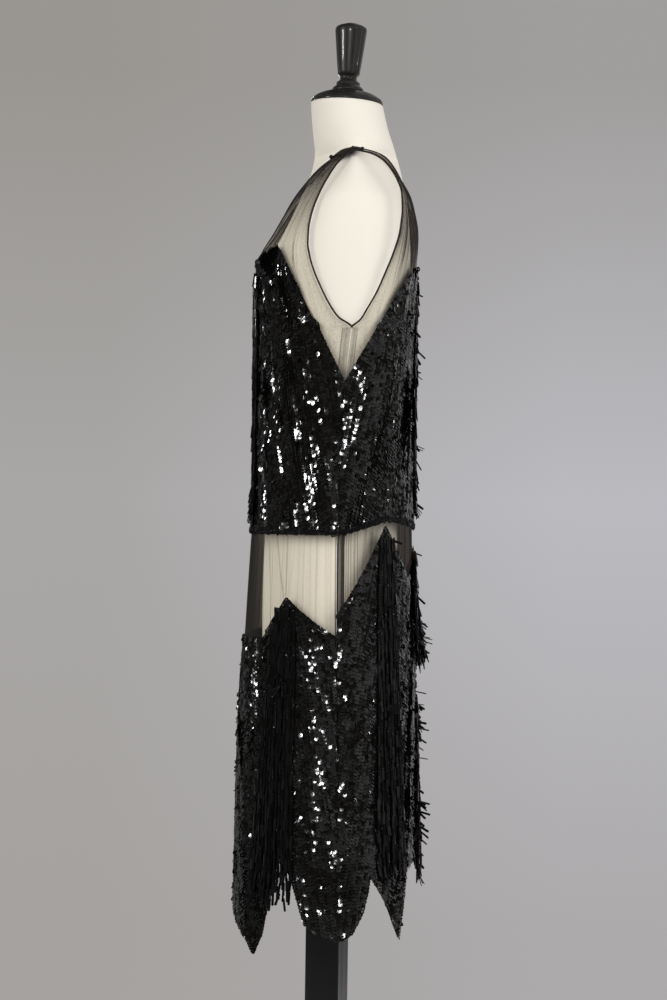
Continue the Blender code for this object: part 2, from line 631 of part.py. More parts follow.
def fringe(name, side, centre, strands, layers, top, ends, widths, tip_lift):
    """A strip with its strands, from one row of the tables of fringes."""
    cells = 2 * strands - 1
    start = height_of(side, top)
    strip_foot = start - STRIP_HEIGHT
    arc = arc_of(side, start, centre) if centre else 0.0
    edges = arc + np.linspace(-widths[0] / 2, widths[0] / 2, cells + 1)
    depths = LIFT + BAR_THICKNESS * np.arange(layers + 1)
    points = []
    for depth in depths:
        for s in (start, strip_foot):
            points.extend(shell(side, arc_to_u(side, s, edges), s, depth))
    span = cells + 1

    def corner(i, j, low):
        return (2 * j + low) * span + i

    faces = []
    for i in range(cells):
        for j in range(layers):
            faces.append((corner(i, j, 0), corner(i + 1, j, 0), corner(i + 1, j + 1, 0), corner(i, j + 1, 0)))
            if i % 2 or (i // 2) % layers != j:
                foot = (corner(i, j, 1), corner(i, j + 1, 1), corner(i + 1, j + 1, 1), corner(i + 1, j, 1))
                faces.append(foot)
        for j in (0, layers):
            faces.append((corner(i, j, 0), corner(i, j, 1), corner(i + 1, j, 1), corner(i + 1, j, 0)))
    for i in (0, cells):
        for j in range(layers):
            faces.append((corner(i, j, 0), corner(i, j + 1, 0), corner(i, j + 1, 1), corner(i, j, 1)))

    segments = 3 if top - min(ends) > LONG_STRAND else 2
    half_bar = BAR_HALF_WIDTH
    for strand in range(strands):
        i = 2 * strand
        j = strand % layers
        ring = [corner(i, j, 1), corner(i + 1, j, 1), corner(i + 1, j + 1, 1), corner(i, j + 1, 1)]
        place = strand / (strands - 1) - 0.5
        wobble = math.sin(7.3 * strand + 1.7 * len(name))
        tip = height_of(side, ends[0] + (ends[1] - ends[0]) * (0.5 + 0.5 * wobble))
        for k in range(1, segments + 1):
            t = k / segments
            s = strip_foot + (tip - strip_foot) * t
            width = widths[0] + (widths[1] - widths[0]) * t ** SPREAD_POWER
            centre_arc = arc + place * (width - 2 * half_bar) + STRAND_WANDER * wobble * t
            lift = LIFT + BAR_THICKNESS * j + tip_lift * t ** LIFT_POWER + LAYER_SPREAD * layers * j * t
            arcs = np.array([-half_bar, half_bar, half_bar, -half_bar]) + centre_arc
            outs = np.array([lift, lift, lift + BAR_THICKNESS, lift + BAR_THICKNESS])
            ring_points = shell(side, arc_to_u(side, s, arcs), s, outs)
            first = len(points)
            points.extend(ring_points)
            following = [first, first + 1, first + 2, first + 3]
            for a in range(4):
                b = (a + 1) % 4
                faces.append((ring[a], ring[b], following[b], following[a]))
            ring = following
        faces.append(tuple(ring))
    made = object_of(name, points, faces, black_bars)
    face_outward(made)
    return made


for name, settings in CENTRE_FRINGES.items():
    fringe(name, *settings)

for stem, settings in PAIRED_FRINGES.items():
    for suffix, mirror_x in (("_left", 1.0), ("_right", -1.0)):
        column = fringe(stem + suffix, *settings)
        for vertex in column.data.vertices:
            vertex.co.x *= mirror_x
        face_outward(column)


# Dress form: padded body, neck cap, finial, post and base


def body_rings():
    rows = np.array(BODY)
    angles = 2 * np.pi * np.arange(BODY_SEGMENTS) / BODY_SEGMENTS
    rings = []
    for level, y_front, y_back, half_width, y_side, roundness in rows:
        x = half_width * np.sign(np.sin(angles)) * np.abs(np.sin(angles)) ** roundness
        reach = np.where(np.cos(angles) > 0, y_side - y_front, y_back - y_side)
        y = y_side - reach * np.sign(np.cos(angles)) * np.abs(np.cos(angles)) ** roundness
        tilt = math.tan(NECK_TILT) * min(1.0, max(0.0, (level - TILT_START) / TILT_RISE))
        z = level - tilt * (y - NECK_CENTRE[1])
        rings.append(np.stack([x, y, z], axis=1))
    return np.array(rings)


rings = body_rings()
count = BODY_SEGMENTS
body_faces = []
for j in range(len(rings) - 1):
    for i in range(count):
        a = j * count + i
        b = j * count + (i + 1) % count
        body_faces.append((a, b, b + count, a + count))
body_faces.append(tuple(range(count))[::-1])
body_faces.append(tuple((len(rings) - 1) * count + i for i in range(count)))
body = object_of("form_body", rings.reshape(-1, 3), body_faces, ivory_jersey)
face_outward(body)

lean = (-NECK_TILT, 0.0, 0.0)
cap_height = REST_GAP
finial_height = cap_height + CAP[-1][1] + REST_GAP
for name, profile, height in (("neck_cap", CAP, cap_height), ("finial", FINIAL, finial_height)):
    piece = turned(name, profile, CAP_SEGMENTS, black_wood)
    piece.rotation_euler = lean
    piece.location = (
        NECK_CENTRE[0],
        NECK_CENTRE[1] + height * math.sin(NECK_TILT),
        NECK_CENTRE[2] + height * math.cos(NECK_TILT),
    )

base = turned("base", BASE, BASE_SEGMENTS, black_wood)

post_foot = BASE[-1][1] + REST_GAP
post_top = BODY[0][0] - REST_GAP
bpy.ops.mesh.primitive_cube_add(size=1.0, location=(0.0, 0.0, (post_foot + post_top) / 2))
post = bpy.context.object
post.name = "post"
post.scale = (POST_SIDE, POST_SIDE, post_top - post_foot)
post.rotation_euler = (0.0, 0.0, POST_TURN)
bpy.ops.object.transform_apply(location=False, rotation=False, scale=True)
for holder in list(post.users_collection):
    holder.objects.unlink(post)
collection.objects.link(post)
post.data.materials.append(black_wood)
arris = post.modifiers.new("Arris", "BEVEL")
arris.width = POST_ARRIS
arris.segments = 1
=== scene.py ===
import math

import bpy
import numpy as np
from mathutils import Matrix, Vector


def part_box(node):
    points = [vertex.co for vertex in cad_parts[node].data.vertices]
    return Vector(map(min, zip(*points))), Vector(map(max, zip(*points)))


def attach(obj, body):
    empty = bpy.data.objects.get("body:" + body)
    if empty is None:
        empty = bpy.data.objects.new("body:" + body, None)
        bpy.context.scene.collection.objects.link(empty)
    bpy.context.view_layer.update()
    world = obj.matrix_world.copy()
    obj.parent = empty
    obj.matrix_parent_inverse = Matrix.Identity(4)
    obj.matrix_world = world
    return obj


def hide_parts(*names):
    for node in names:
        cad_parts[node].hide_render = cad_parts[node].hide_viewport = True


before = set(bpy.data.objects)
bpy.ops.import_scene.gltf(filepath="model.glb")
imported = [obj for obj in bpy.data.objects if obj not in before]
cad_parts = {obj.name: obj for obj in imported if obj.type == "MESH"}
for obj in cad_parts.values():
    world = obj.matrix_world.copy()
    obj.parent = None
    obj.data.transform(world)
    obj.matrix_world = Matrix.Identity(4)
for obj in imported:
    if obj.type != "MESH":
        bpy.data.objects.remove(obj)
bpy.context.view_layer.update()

rng = np.random.default_rng(1926)


# Shader helpers


class Wire:  # a node's output, so that shader maths reads as Python
    def __init__(self, graph, socket):
        self.graph = graph
        self.socket = socket

    def maths(self, operation, first, second):
        return self.graph.node("ShaderNodeMath", {"operation": operation}, {0: first, 1: second})

    def __add__(self, other):
        return self.maths("ADD", self, other)

    def __radd__(self, other):
        return self.maths("ADD", other, self)

    def __sub__(self, other):
        return self.maths("SUBTRACT", self, other)

    def __rsub__(self, other):
        return self.maths("SUBTRACT", other, self)

    def __mul__(self, other):
        return self.maths("MULTIPLY", self, other)

    def __rmul__(self, other):
        return self.maths("MULTIPLY", other, self)

    def __abs__(self):
        return self.graph.node("ShaderNodeMath", {"operation": "ABSOLUTE"}, {0: self})


class Graph:  # a node tree and short ways to add to it
    def __init__(self, tree):
        self.tree = tree

    def node(self, kind, settings=None, sockets=None, out=0):
        made = self.tree.nodes.new(kind)
        for key, value in (settings or {}).items():
            setattr(made, key, value)
        for key, value in (sockets or {}).items():
            if isinstance(value, Wire):
                self.tree.links.new(value.socket, made.inputs[key])
            else:
                made.inputs[key].default_value = value
        return Wire(self, made.outputs[out])

    def coordinates(self, kind="Object"):
        return self.node("ShaderNodeTexCoord", out=kind)

    def stretched(self, vector, stretch):
        return self.node("ShaderNodeVectorMath", {"operation": "MULTIPLY"}, {0: vector, 1: stretch})

    def noise(self, scale, detail=3.0, stretch=(1, 1, 1), kind="Object"):
        spot = self.stretched(self.coordinates(kind), stretch)
        return self.node("ShaderNodeTexNoise", {}, {"Vector": spot, "Scale": scale, "Detail": detail})

    def axis(self, which, kind="Object"):
        return self.node("ShaderNodeSeparateXYZ", {}, {0: self.coordinates(kind)}, out=which)

    def spread(self, value, low, high, newLow=0.0, newHigh=1.0):
        return self.node("ShaderNodeMapRange", {}, {0: value, 1: low, 2: high, 3: newLow, 4: newHigh})

    def blend(self, factor, first, second):
        colours = {6: first if isinstance(first, Wire) else (*first, 1.0)}
        colours[7] = second if isinstance(second, Wire) else (*second, 1.0)
        return self.node("ShaderNodeMix", {"data_type": "RGBA"}, {0: factor, **colours}, out=2)


class Finish(Graph):  # a material
    def __init__(self, name, **shader):
        self.material = bpy.data.materials.new(name)
        self.material.use_nodes = True
        super().__init__(self.material.node_tree)
        self.shader = self.tree.nodes["Principled BSDF"]
        for socketName, value in shader.items():
            self.feed(socketName, value)

    def feed(self, socketName, value):
        socket = self.shader.inputs[socketName.replace("_", " ")]
        if isinstance(value, Wire):
            self.tree.links.new(value.socket, socket)
        elif hasattr(value, "__len__"):
            socket.default_value = (*value, 1.0)
        else:
            socket.default_value = value

    def raised(self, height, strength, distance):
        values = {"Height": height, "Strength": strength, "Distance": distance}
        self.feed("Normal", self.node("ShaderNodeBump", {}, values))

    def sheer(self, cover, tint):  # shows the thread where cover is 1 and what lies behind where it is 0
        clear = self.node("ShaderNodeBsdfTransparent", {}, {"Color": (*tint, 1.0)})
        thread = Wire(self, self.shader.outputs[0])
        mixed = self.node("ShaderNodeMixShader", {}, {0: cover, 1: clear, 2: thread})
        self.tree.links.new(mixed.socket, self.tree.nodes["Material Output"].inputs[0])


# Mesh helpers


mergeDistance = 0.00001


def meshOf(name, points, faces, finish, smooth=True):
    mesh = bpy.data.meshes.new(name)
    mesh.from_pydata(points.tolist(), [], faces.tolist() if hasattr(faces, "tolist") else faces)
    mesh.materials.append(finish.material)
    mesh.polygons.foreach_set("use_smooth", [smooth] * len(mesh.polygons))
    mesh.update()
    made = bpy.data.objects.new(name, mesh)
    bpy.context.scene.collection.objects.link(made)
    return made


def gridFaces(columns, rows, flip=False):
    i, j = np.meshgrid(np.arange(columns - 1), np.arange(rows - 1), indexing="ij")
    corner = (i * rows + j).ravel()
    faces = np.stack([corner, corner + rows, corner + rows + 1, corner + 1], axis=1)
    return faces[:, ::-1] if flip else faces


def tubeFaces(rings, sides):  # joins closed rings of points, each to the next
    i, k = np.meshgrid(np.arange(rings - 1) * sides, np.arange(sides), indexing="ij")
    beside = (k + 1) % sides
    return np.stack([i + k, i + beside, i + sides + beside, i + sides + k], -1).reshape(-1, 4)


def turns(count):  # even angles round a circle
    return 2 * np.pi * np.arange(count) / count


def unit(vectors):
    return vectors / np.linalg.norm(vectors, axis=-1, keepdims=True)


def lengthAlong(points):  # from the first point to each one
    return np.concatenate([[0.0], np.cumsum(np.linalg.norm(np.diff(points, axis=0), axis=1))])


def spun(angles, radii, heights):  # a profile's points at each angle round the Z axis
    wide = [np.outer(np.cos(angles), radii), np.outer(np.sin(angles), radii)]
    return np.stack([*wide, np.tile(heights, (len(angles), 1))], axis=-1)


# Joined copies of a small shape, where axes holds each copy's three directions as rows
def copiesOf(shape, centres, axes):
    shapePoints, shapeFaces = shape
    points = centres[:, None, :] + np.einsum("pk,nkc->npc", shapePoints, axes)
    faces = shapeFaces[None] + (np.arange(len(centres)) * len(shapePoints))[:, None, None]
    return points.reshape(-1, 3), faces.reshape(-1, shapeFaces.shape[1])


def turnedMesh(name, profile, finish, segments=64):
    profile = np.array(profile)
    rings = spun(turns(segments), profile[:, 0], profile[:, 1])
    faces = gridFaces(segments + 1, len(profile)) % (segments * len(profile))
    made = meshOf(name, rings.reshape(-1, 3), faces, finish)
    made.modifiers.new("Weld", "WELD").merge_threshold = mergeDistance
    return made


def ringTube(name, centres, outs, radius, finish, sides=8):  # a closed tube along a loop of points
    ahead = unit(np.roll(centres, -1, axis=0) - np.roll(centres, 1, axis=0))
    across = unit(np.cross(ahead, outs))
    outs = np.cross(across, ahead)
    angles = turns(sides)[None, :, None]
    rings = centres[:, None] + radius * (np.cos(angles) * outs[:, None] + np.sin(angles) * across[:, None])
    faces = tubeFaces(len(centres) + 1, sides) % (len(centres) * sides)
    return meshOf(name, rings.reshape(-1, 3), faces, finish)


# The dress's own surface, as the solids have it

roundness = 0.87
foot = 1.176

# level, yFront, yBack, halfWidth, ySide
tube = (
    (0.340, -0.1262, 0.1148, 0.1880, 0.0140),
    (0.458, -0.1256, 0.1148, 0.1840, 0.0125),
    (0.552, -0.1249, 0.1147, 0.1810, 0.0105),
    (0.687, -0.1222, 0.1127, 0.1760, 0.0090),
    (0.760, -0.1180, 0.1105, 0.1735, 0.0070),
    (0.822, -0.1148, 0.1085, 0.1722, 0.0055),
    (0.900, -0.1105, 0.1075, 0.1712, 0.0050),
    (0.984, -0.1060, 0.1050, 0.1700, 0.0070),
    (1.104, -0.1065, 0.1045, 0.1680, 0.0124),
)
sideSeam = [(row[0], row[4]) for row in tube] + [(foot, 0.0198)]

# level, zArm, xNeck, yNeck, xArm, yArm, sweep in degrees
tops = {
    "front": (
        (1.1760, 1.1760, 0.0000, -0.1070, 0.1655, 0.0198, 90.0),
        (1.1950, 1.1895, 0.0000, -0.1074, 0.1635, 0.0025, 80.0),
        (1.2150, 1.2070, 0.0000, -0.1076, 0.1610, -0.0098, 74.5),
        (1.2400, 1.2290, 0.0000, -0.1078, 0.1580, -0.0210, 69.0),
        (1.2620, 1.2500, 0.0000, -0.1074, 0.1555, -0.0300, 65.0),
        (1.2770, 1.2660, 0.0003, -0.1067, 0.1530, -0.0350, 62.0),
        (1.2815, 1.2710, 0.0045, -0.1045, 0.1520, -0.0360, 61.0),
        (1.2930, 1.2840, 0.0115, -0.0980, 0.1500, -0.0382, 60.0),
        (1.3110, 1.3030, 0.0205, -0.0860, 0.1465, -0.0376, 58.0),
        (1.3340, 1.3260, 0.0300, -0.0721, 0.1418, -0.0334, 54.0),
        (1.3570, 1.3490, 0.0395, -0.0583, 0.1340, -0.0256, 50.0),
        (1.3750, 1.3700, 0.0465, -0.0443, 0.1245, -0.0160, 46.0),
        (1.3970, 1.3930, 0.0560, -0.0234, 0.1135, -0.0025, 42.0),
        (1.4060, 1.4030, 0.0595, -0.0114, 0.1065, 0.0060, 40.0),
        (1.4195, 1.4115, 0.0640, 0.0070, 0.1015, 0.0148, 38.0),
        (1.4225, 1.4140, 0.0650, 0.0217, 0.1000, 0.0217, 36.0),
    ),
    "back": (
        (1.1760, 1.1760, 0.0000, 0.1045, 0.1655, 0.0198, 90.0),
        (1.1900, 1.1865, 0.0000, 0.1045, 0.1638, 0.0310, 83.0),
        (1.2050, 1.2030, 0.0000, 0.1048, 0.1610, 0.0407, 78.0),
        (1.2250, 1.2220, 0.0000, 0.1054, 0.1590, 0.0512, 73.0),
        (1.2500, 1.2470, 0.0000, 0.1064, 0.1560, 0.0617, 67.0),
        (1.2780, 1.2740, 0.0000, 0.1080, 0.1520, 0.0721, 62.0),
        (1.3050, 1.3020, 0.0000, 0.1085, 0.1470, 0.0799, 57.0),
        (1.3200, 1.3170, 0.0000, 0.1075, 0.1440, 0.0818, 55.0),
        (1.3330, 1.3300, 0.0130, 0.1045, 0.1410, 0.0829, 52.0),
        (1.3560, 1.3530, 0.0290, 0.0973, 0.1320, 0.0820, 48.0),
        (1.3830, 1.3710, 0.0440, 0.0835, 0.1245, 0.0766, 44.0),
        (1.4000, 1.3880, 0.0530, 0.0725, 0.1160, 0.0674, 42.0),
        (1.4125, 1.4020, 0.0590, 0.0600, 0.1070, 0.0551, 40.0),
        (1.4190, 1.4095, 0.0630, 0.0420, 0.1025, 0.0414, 38.0),
        (1.4225, 1.4140, 0.0650, 0.0219, 0.1000, 0.0219, 36.0),
    ),
}

# y and z of the line where the bodice's sequins stop
sequinEdges = {
    "front": ((-0.1067, 1.2770), (-0.0783, 1.2876), (0.0124, 1.1036)),
    "back": ((0.0124, 1.1036), (0.1003, 1.2620), (0.1075, 1.2680)),
}

# u from the centre to the side seam, z
waists = {
    "front": ((0.0, 0.9140), (1.0, 0.9140)),
    "back": ((0.0, 0.9215), (0.4, 0.9290), (0.626, 0.9330), (0.8, 0.9240), (1.0, 0.9140)),
}
skirtTops = {
    "front": ((0.0, 0.7710), (0.481, 0.7770), (0.590, 0.8060), (0.683, 0.8305), (1.0, 0.7830)),
    "back": ((0.0, 0.8970), (0.308, 0.8540), (0.626, 0.9236), (1.0, 0.8097)),
}
hems = {
    "front": (
        (0.0, 0.4260), (0.08, 0.4120), (0.155, 0.4050), (0.332, 0.3970), (0.426, 0.3865), (0.487, 0.3736),
        (0.544, 0.3990), (0.590, 0.4380), (0.635, 0.4700), (0.683, 0.5080), (0.766, 0.4750),
        (0.843, 0.4200), (0.922, 0.4090), (1.0, 0.4015),
    ),
    "back": (
        (0.0, 0.4880), (0.2, 0.4900), (0.374, 0.4790), (0.430, 0.4400), (0.492, 0.3956), (0.560, 0.4200),
        (0.650, 0.4500), (0.738, 0.4735), (0.773, 0.4880), (0.800, 0.4600), (0.840, 0.4340),
        (0.926, 0.4090), (1.0, 0.4015),
    ),
}
swings = {
    "front": ((0.0, -0.6), (0.487, 1.0), (0.683, -1.0), (1.0, 0.8)),
    "back": ((0.0, -0.6), (0.492, 1.0), (0.773, -1.0), (1.0, 0.8)),
}
outwardSign = {"front": 1.0, "back": -1.0}
seamNudge = {"front": -0.0003, "back": 0.0003}  # keeps the panels apart at the side seams


def smoothTable(knots, values, at):  # monotone cubic through the rows of a table
    step = np.diff(knots)
    rise = np.diff(values, axis=0) / step[:, None]
    slope = np.zeros_like(values)
    first = 2 * step[1:, None] + step[:-1, None]
    second = step[1:, None] + 2 * step[:-1, None]
    safe = rise[:-1] * rise[1:] > 0
    lower = np.where(safe, rise[:-1], 1.0)
    upper = np.where(safe, rise[1:], 1.0)
    slope[1:-1] = np.where(safe, (first + second) / (first / lower + second / upper), 0.0)
    slope[0] = rise[0]
    slope[-1] = rise[-1]
    at = np.clip(np.asarray(at, float), knots[0], knots[-1])
    cell = np.clip(np.searchsorted(knots, at, side="right") - 1, 0, len(step) - 1)
    width = step[cell][..., None]
    t = ((at - knots[cell]) / step[cell])[..., None]
    bend = slope[cell] * t * (1 - t) ** 2 - slope[cell + 1] * t * t * (1 - t)
    return values[cell] * (1 + 2 * t) * (1 - t) ** 2 + values[cell + 1] * t * t * (3 - 2 * t) + width * bend


def along(pairs, at):
    pairs = np.asarray(pairs)
    return np.interp(at, pairs[:, 0], pairs[:, 1])


def halfTable(side):
    column = {"front": 1, "back": 2}[side]
    rows = [(row[0], row[0], 0.0, row[column], row[3], row[4], 90.0) for row in tube]
    rows = np.array(rows + list(tops[side]))
    middles = (rows[:, [2, 3, 0]] + rows[:, [4, 5, 1]]) / 2
    return rows, lengthAlong(middles)


tables = {side: halfTable(side) for side in ("front", "back")}


def heightOf(side, level):
    rows, lengths = tables[side]
    return np.interp(level, rows[:, 0], lengths)


def plainShell(side, u, s):
    rows, lengths = tables[side]
    u, s = np.broadcast_arrays(np.asarray(u, float), np.asarray(s, float))
    level, zArm, xNeck, yNeck, xArm, yArm, sweep = np.moveaxis(smoothTable(lengths, rows, s), -1, 0)
    yArm = np.where(level < foot, along(sideSeam, level), yArm)
    sweep = np.radians(sweep)
    turn = np.abs(u) * sweep
    across = (np.sin(turn) / np.sin(sweep)) ** roundness
    full = 1 - np.clip(np.cos(sweep), 0, 1) ** roundness
    deep = (1 - np.clip(np.cos(turn), 0, 1) ** roundness) / full
    x = np.where(np.signbit(u), -1.0, 1.0) * (xNeck + (xArm - xNeck) * across)
    y = yNeck + (yArm - yNeck) * deep + seamNudge[side]
    z = level + (zArm - level) * across
    return np.stack([x, y, z], axis=-1)


def shellFrame(side, u, s):  # point, outward normal and upward tangent of the dress's surface
    u, s = np.broadcast_arrays(np.asarray(u, float), np.asarray(s, float))
    reach = 0.01
    across = plainShell(side, np.minimum(u + reach, 1), s) - plainShell(side, np.maximum(u - reach, -1), s)
    up = plainShell(side, u, s + reach / 2) - plainShell(side, u, s - reach / 2)
    return plainShell(side, u, s), unit(np.cross(across, up) * outwardSign[side]), unit(up)


def shell(side, u, s, out=0.0):
    point, normal, up = shellFrame(side, u, s)
    return point + normal * np.asarray(out)[..., None]


def sequinEdge(side, u):
    low = heightOf(side, 1.05)
    high = heightOf(side, 1.32)
    for _ in range(40):
        middle = (low + high) / 2
        point = plainShell(side, u, middle)
        if point[2] < along(sequinEdges[side], point[1]):
            low = middle
        else:
            high = middle
    return low


columnCount = 201
columnUs = np.linspace(0, 1, columnCount)
bodiceTops = {side: np.array([sequinEdge(side, u) for u in columnUs]) for side in ("front", "back")}


def limits(side, panelName, u):  # lowest and highest place up the cloth of a panel, in each column
    u = np.abs(u)
    waist = heightOf(side, along(waists[side], u))
    skirtTop = heightOf(side, along(skirtTops[side], u))
    if panelName == "bodice":
        return waist, np.interp(u, columnUs, bodiceTops[side])
    if panelName == "yoke":
        return np.interp(u, columnUs, bodiceTops[side]), np.full_like(u, tables[side][1][-1])
    if panelName == "hip":
        return skirtTop, waist
    return heightOf(side, along(hems[side], u)), skirtTop


hang = {
    "level": 0.72,  # where the skirt's swing begins
    "swing": 0.0035,
    "ripple": 0.0012,
    "bodice": 0.0007,
}


def drape(side, panelName, u, s):  # how far the hanging cloth stands off its plain form
    flat = np.abs(u)
    if panelName == "skirt":
        fall = np.clip(1 - s / heightOf(side, hang["level"]), 0, 1)
        ripple = np.sin(19 * flat + 4 * s + 0.7) * fall * hang["ripple"]
        return hang["swing"] * fall ** 1.5 * along(swings[side], flat) + ripple
    if panelName == "bodice":
        return hang["bodice"] * np.sin(23 * flat + 9 * s) * np.sin(7 * s + 2.1)
    return np.zeros(np.broadcast(u, s).shape)


# Camera and studio

camera = {
    "distance": 2.78,
    "eyeHeight": 0.9575,
    "fieldHeight": 1.35,  # metres seen at the form's axis
    "roll": math.radians(0.85),
}


def makeCamera():
    lens = bpy.data.cameras.new("camera")
    lens.sensor_width = 36.0
    lens.lens = 18.0 / (camera["fieldHeight"] / 2 / camera["distance"])
    lens.clip_start = 0.05
    made = bpy.data.objects.new("camera", lens)
    turn = Matrix.Rotation(math.pi / 2, 4, "Z") @ Matrix.Rotation(math.pi / 2, 4, "X")
    made.matrix_world = (
        Matrix.Translation((camera["distance"], 0.0, camera["eyeHeight"]))
        @ turn
        @ Matrix.Rotation(camera["roll"], 4, "Z")
    )
    bpy.context.scene.collection.objects.link(made)
    bpy.context.scene.camera = made


# azimuth from the camera's axis towards the dress's front, distance, height, width, tall, watts
glossLamps = {  # seen in sequins and bars alone
    "keyLamp": (62.0, 2.9, 1.85, 0.26, 0.34, 18.0),
    "sideLamp": (6.0, 2.9, 1.90, 0.18, 0.28, 10.0),
    "frontRimLamp": (126.0, 2.6, 1.62, 0.08, 0.14, 2.2),
    "backRimLamp": (-84.0, 2.9, 1.50, 0.05, 0.09, 0.9),
    "farLamp": (180.0, 2.9, 1.90, 0.30, 0.40, 8.0),
}
softLamps = {  # light cloth and form, and have no reflection
    "softFront": (34.0, 3.0, 2.1, 2.4, 2.4, 55.0),
    "softBack": (-53.0, 3.0, 2.0, 2.4, 2.4, 57.0),
    "softFar": (165.0, 3.2, 1.6, 2.2, 2.2, 50.0),
}
lampAim = 0.95


def makeLamps(lamps, shiny):
    for name, (azimuth, distance, height, width, tall, watts) in lamps.items():
        light = bpy.data.lights.new(name, "AREA")
        light.shape = "RECTANGLE"
        light.size = width
        light.size_y = tall
        light.energy = watts
        made = bpy.data.objects.new(name, light)
        turn = math.radians(azimuth)
        made.location = (distance * math.cos(turn), -distance * math.sin(turn), height)
        made.rotation_euler = (Vector((0, 0, lampAim)) - made.location).to_track_quat("-Z", "Y").to_euler()
        made.visible_glossy = shiny
        made.visible_diffuse = not shiny
        bpy.context.scene.collection.objects.link(made)


# colours at the left and right of the photograph, by height
backdrop = {
    "low": ((0.376, 0.361, 0.347), (0.413, 0.402, 0.407)),
    "middle": ((0.397, 0.386, 0.381), (0.497, 0.491, 0.521)),
    "high": ((0.319, 0.305, 0.287), (0.352, 0.342, 0.337)),
    "dark": 0.085,  # what gloss reflects from the studio's unlit side and from its lit wall
    "wall": 0.30,
}


def makeBackdrop():
    world = bpy.data.worlds.new("studio")
    bpy.context.scene.world = world
    world.use_nodes = True
    graph = Graph(world.node_tree)
    sideways = graph.spread(graph.axis(1, "Generated"), -0.11, 0.11)
    up = graph.axis(2, "Generated")
    low, middle, high = (graph.blend(sideways, *backdrop[part]) for part in ("low", "middle", "high"))
    lower = graph.blend(graph.spread(up, -0.20, 0.0), low, middle)
    seen = graph.blend(graph.spread(up, 0.0, 0.20), lower, high)
    wall = graph.spread(graph.axis(1, "Generated"), 0.0, 0.45, backdrop["dark"], backdrop["wall"])
    patches = graph.spread(graph.noise(5.0, 2.5, kind="Generated"), 0.44, 0.62, 0.05, 2.6)
    glossy = graph.node("ShaderNodeLightPath", out="Is Glossy Ray")
    light = graph.blend(glossy, seen, wall * patches)
    world.node_tree.links.new(light.socket, world.node_tree.nodes["Background"].inputs[0])


floor = {
    "radius": 1.1,
    "solid": 0.45,
    "below": 0.0006,
    "rings": 24,
    "spokes": 64,
    "colour": (0.62, 0.62, 0.62),
}


def makeFloor():
    finish = Finish("paleFloor", Base_Color=floor["colour"], Roughness=0.75)
    away = finish.node("ShaderNodeVectorMath", {"operation": "LENGTH"}, {0: finish.coordinates()}, out=1)
    finish.feed("Alpha", finish.spread(away, floor["solid"], floor["radius"], 1.0, 0.0))
    rings, spokes = floor["rings"], floor["spokes"]
    angles = 2 * np.pi * np.arange(spokes + 1) / spokes
    points = spun(angles, np.linspace(0.0, floor["radius"], rings), np.full(rings, -floor["below"]))
    made = meshOf("studioFloor", points.reshape(-1, 3), gridFaces(spokes + 1, rings, flip=True), finish)


makeCamera()
makeLamps(glossLamps, True)
makeLamps(softLamps, False)
makeBackdrop()
makeFloor()
bpy.context.scene.view_settings.view_transform = "Standard"
print("studio ready")


# Finishes


def threadMesh(finish):  # share of thread, averaged over the net's own holes
    places = {"Vector": finish.coordinates(), "Scale": 620.0}
    holes = finish.node("ShaderNodeTexVoronoi", {"feature": "DISTANCE_TO_EDGE"}, places)
    return finish.spread(holes, 0.03, 0.14, 0.46, 0.10)


def folds(finish, across, along, low, high):  # long thin lines that run down the cloth
    spot = finish.stretched(finish.node("ShaderNodeUVMap", {"uv_map": "fan"}), (across, along, 1.0))
    streak = finish.node("ShaderNodeTexNoise", {}, {"Vector": spot, "Scale": 1.0, "Detail": 2.0})
    return finish.spread(streak, low, high)


def creaseOf(finish):  # how closely the net is folded on itself, which each panel's mesh says
    layer = finish.node("ShaderNodeUVMap", {"uv_map": "crease"})
    return finish.node("ShaderNodeSeparateXYZ", {}, {0: layer})


# Painted shade: a warm tint that darkens all that shows through the nets, in place of the shadow that the
# nets do not cast on the form
netShadeTint = (0.945, 0.915, 0.840)
netThread = {"Base_Color": (0.020, 0.017, 0.015), "Roughness": 0.85, "Specular_IOR_Level": 0.2}

# share of the light that each of these stops
netCover = {
    "threads": 0.48,
    "folds": 0.70,
    "gathers": 0.70,
    "doubled": 0.10,
    "seam": 0.38,
    "neck": 0.34,
    "back": 0.60,
}
hipCover = {"threads": 0.22, "folds": 0.35, "creases": 0.14, "seam": 0.50, "allowance": 0.66}


def netFinish():
    finish = Finish("blackNet", **netThread)
    up = finish.axis(2)
    y = finish.axis(1)
    u = abs(finish.axis(0, "UV"))
    lines = folds(finish, 46.0, 1.6, 0.45, 0.72)
    gathers = finish.spread(up, 1.288, 1.385) * finish.spread(y, 0.030, 0.070, 1.0, 0.2)
    neckSide = finish.spread(u, 0.62, 0.10) * finish.spread(up, 1.262, 1.300)
    aside = abs(finish.axis(0))
    behind = finish.spread(y, 0.055, 0.085) * finish.spread(up, 1.215, 1.290)
    behind = behind * finish.spread(aside, 0.010, 0.080, 0.30, 1.0)
    armpit = finish.spread(up, 1.1775, 1.1765)
    doubled = finish.spread(u, 0.9605, 0.9615) * armpit
    seam = finish.spread(u, 0.9565, 0.9590) * finish.spread(u, 0.9640, 0.9615) * armpit
    cover = threadMesh(finish) * (netCover["threads"] + netCover["folds"] * lines)
    cover = cover + gathers * (netCover["gathers"] + 0.30 * lines)
    cover = cover + doubled * (netCover["doubled"] + 0.18 * folds(finish, 420.0, 2.0, 0.40, 0.70))
    cover = cover + netCover["seam"] * seam + netCover["neck"] * neckSide * (0.5 + lines)
    cover = cover + netCover["back"] * behind * (0.8 + 0.4 * lines)
    finish.sheer(cover + creaseOf(finish), netShadeTint)
    return finish


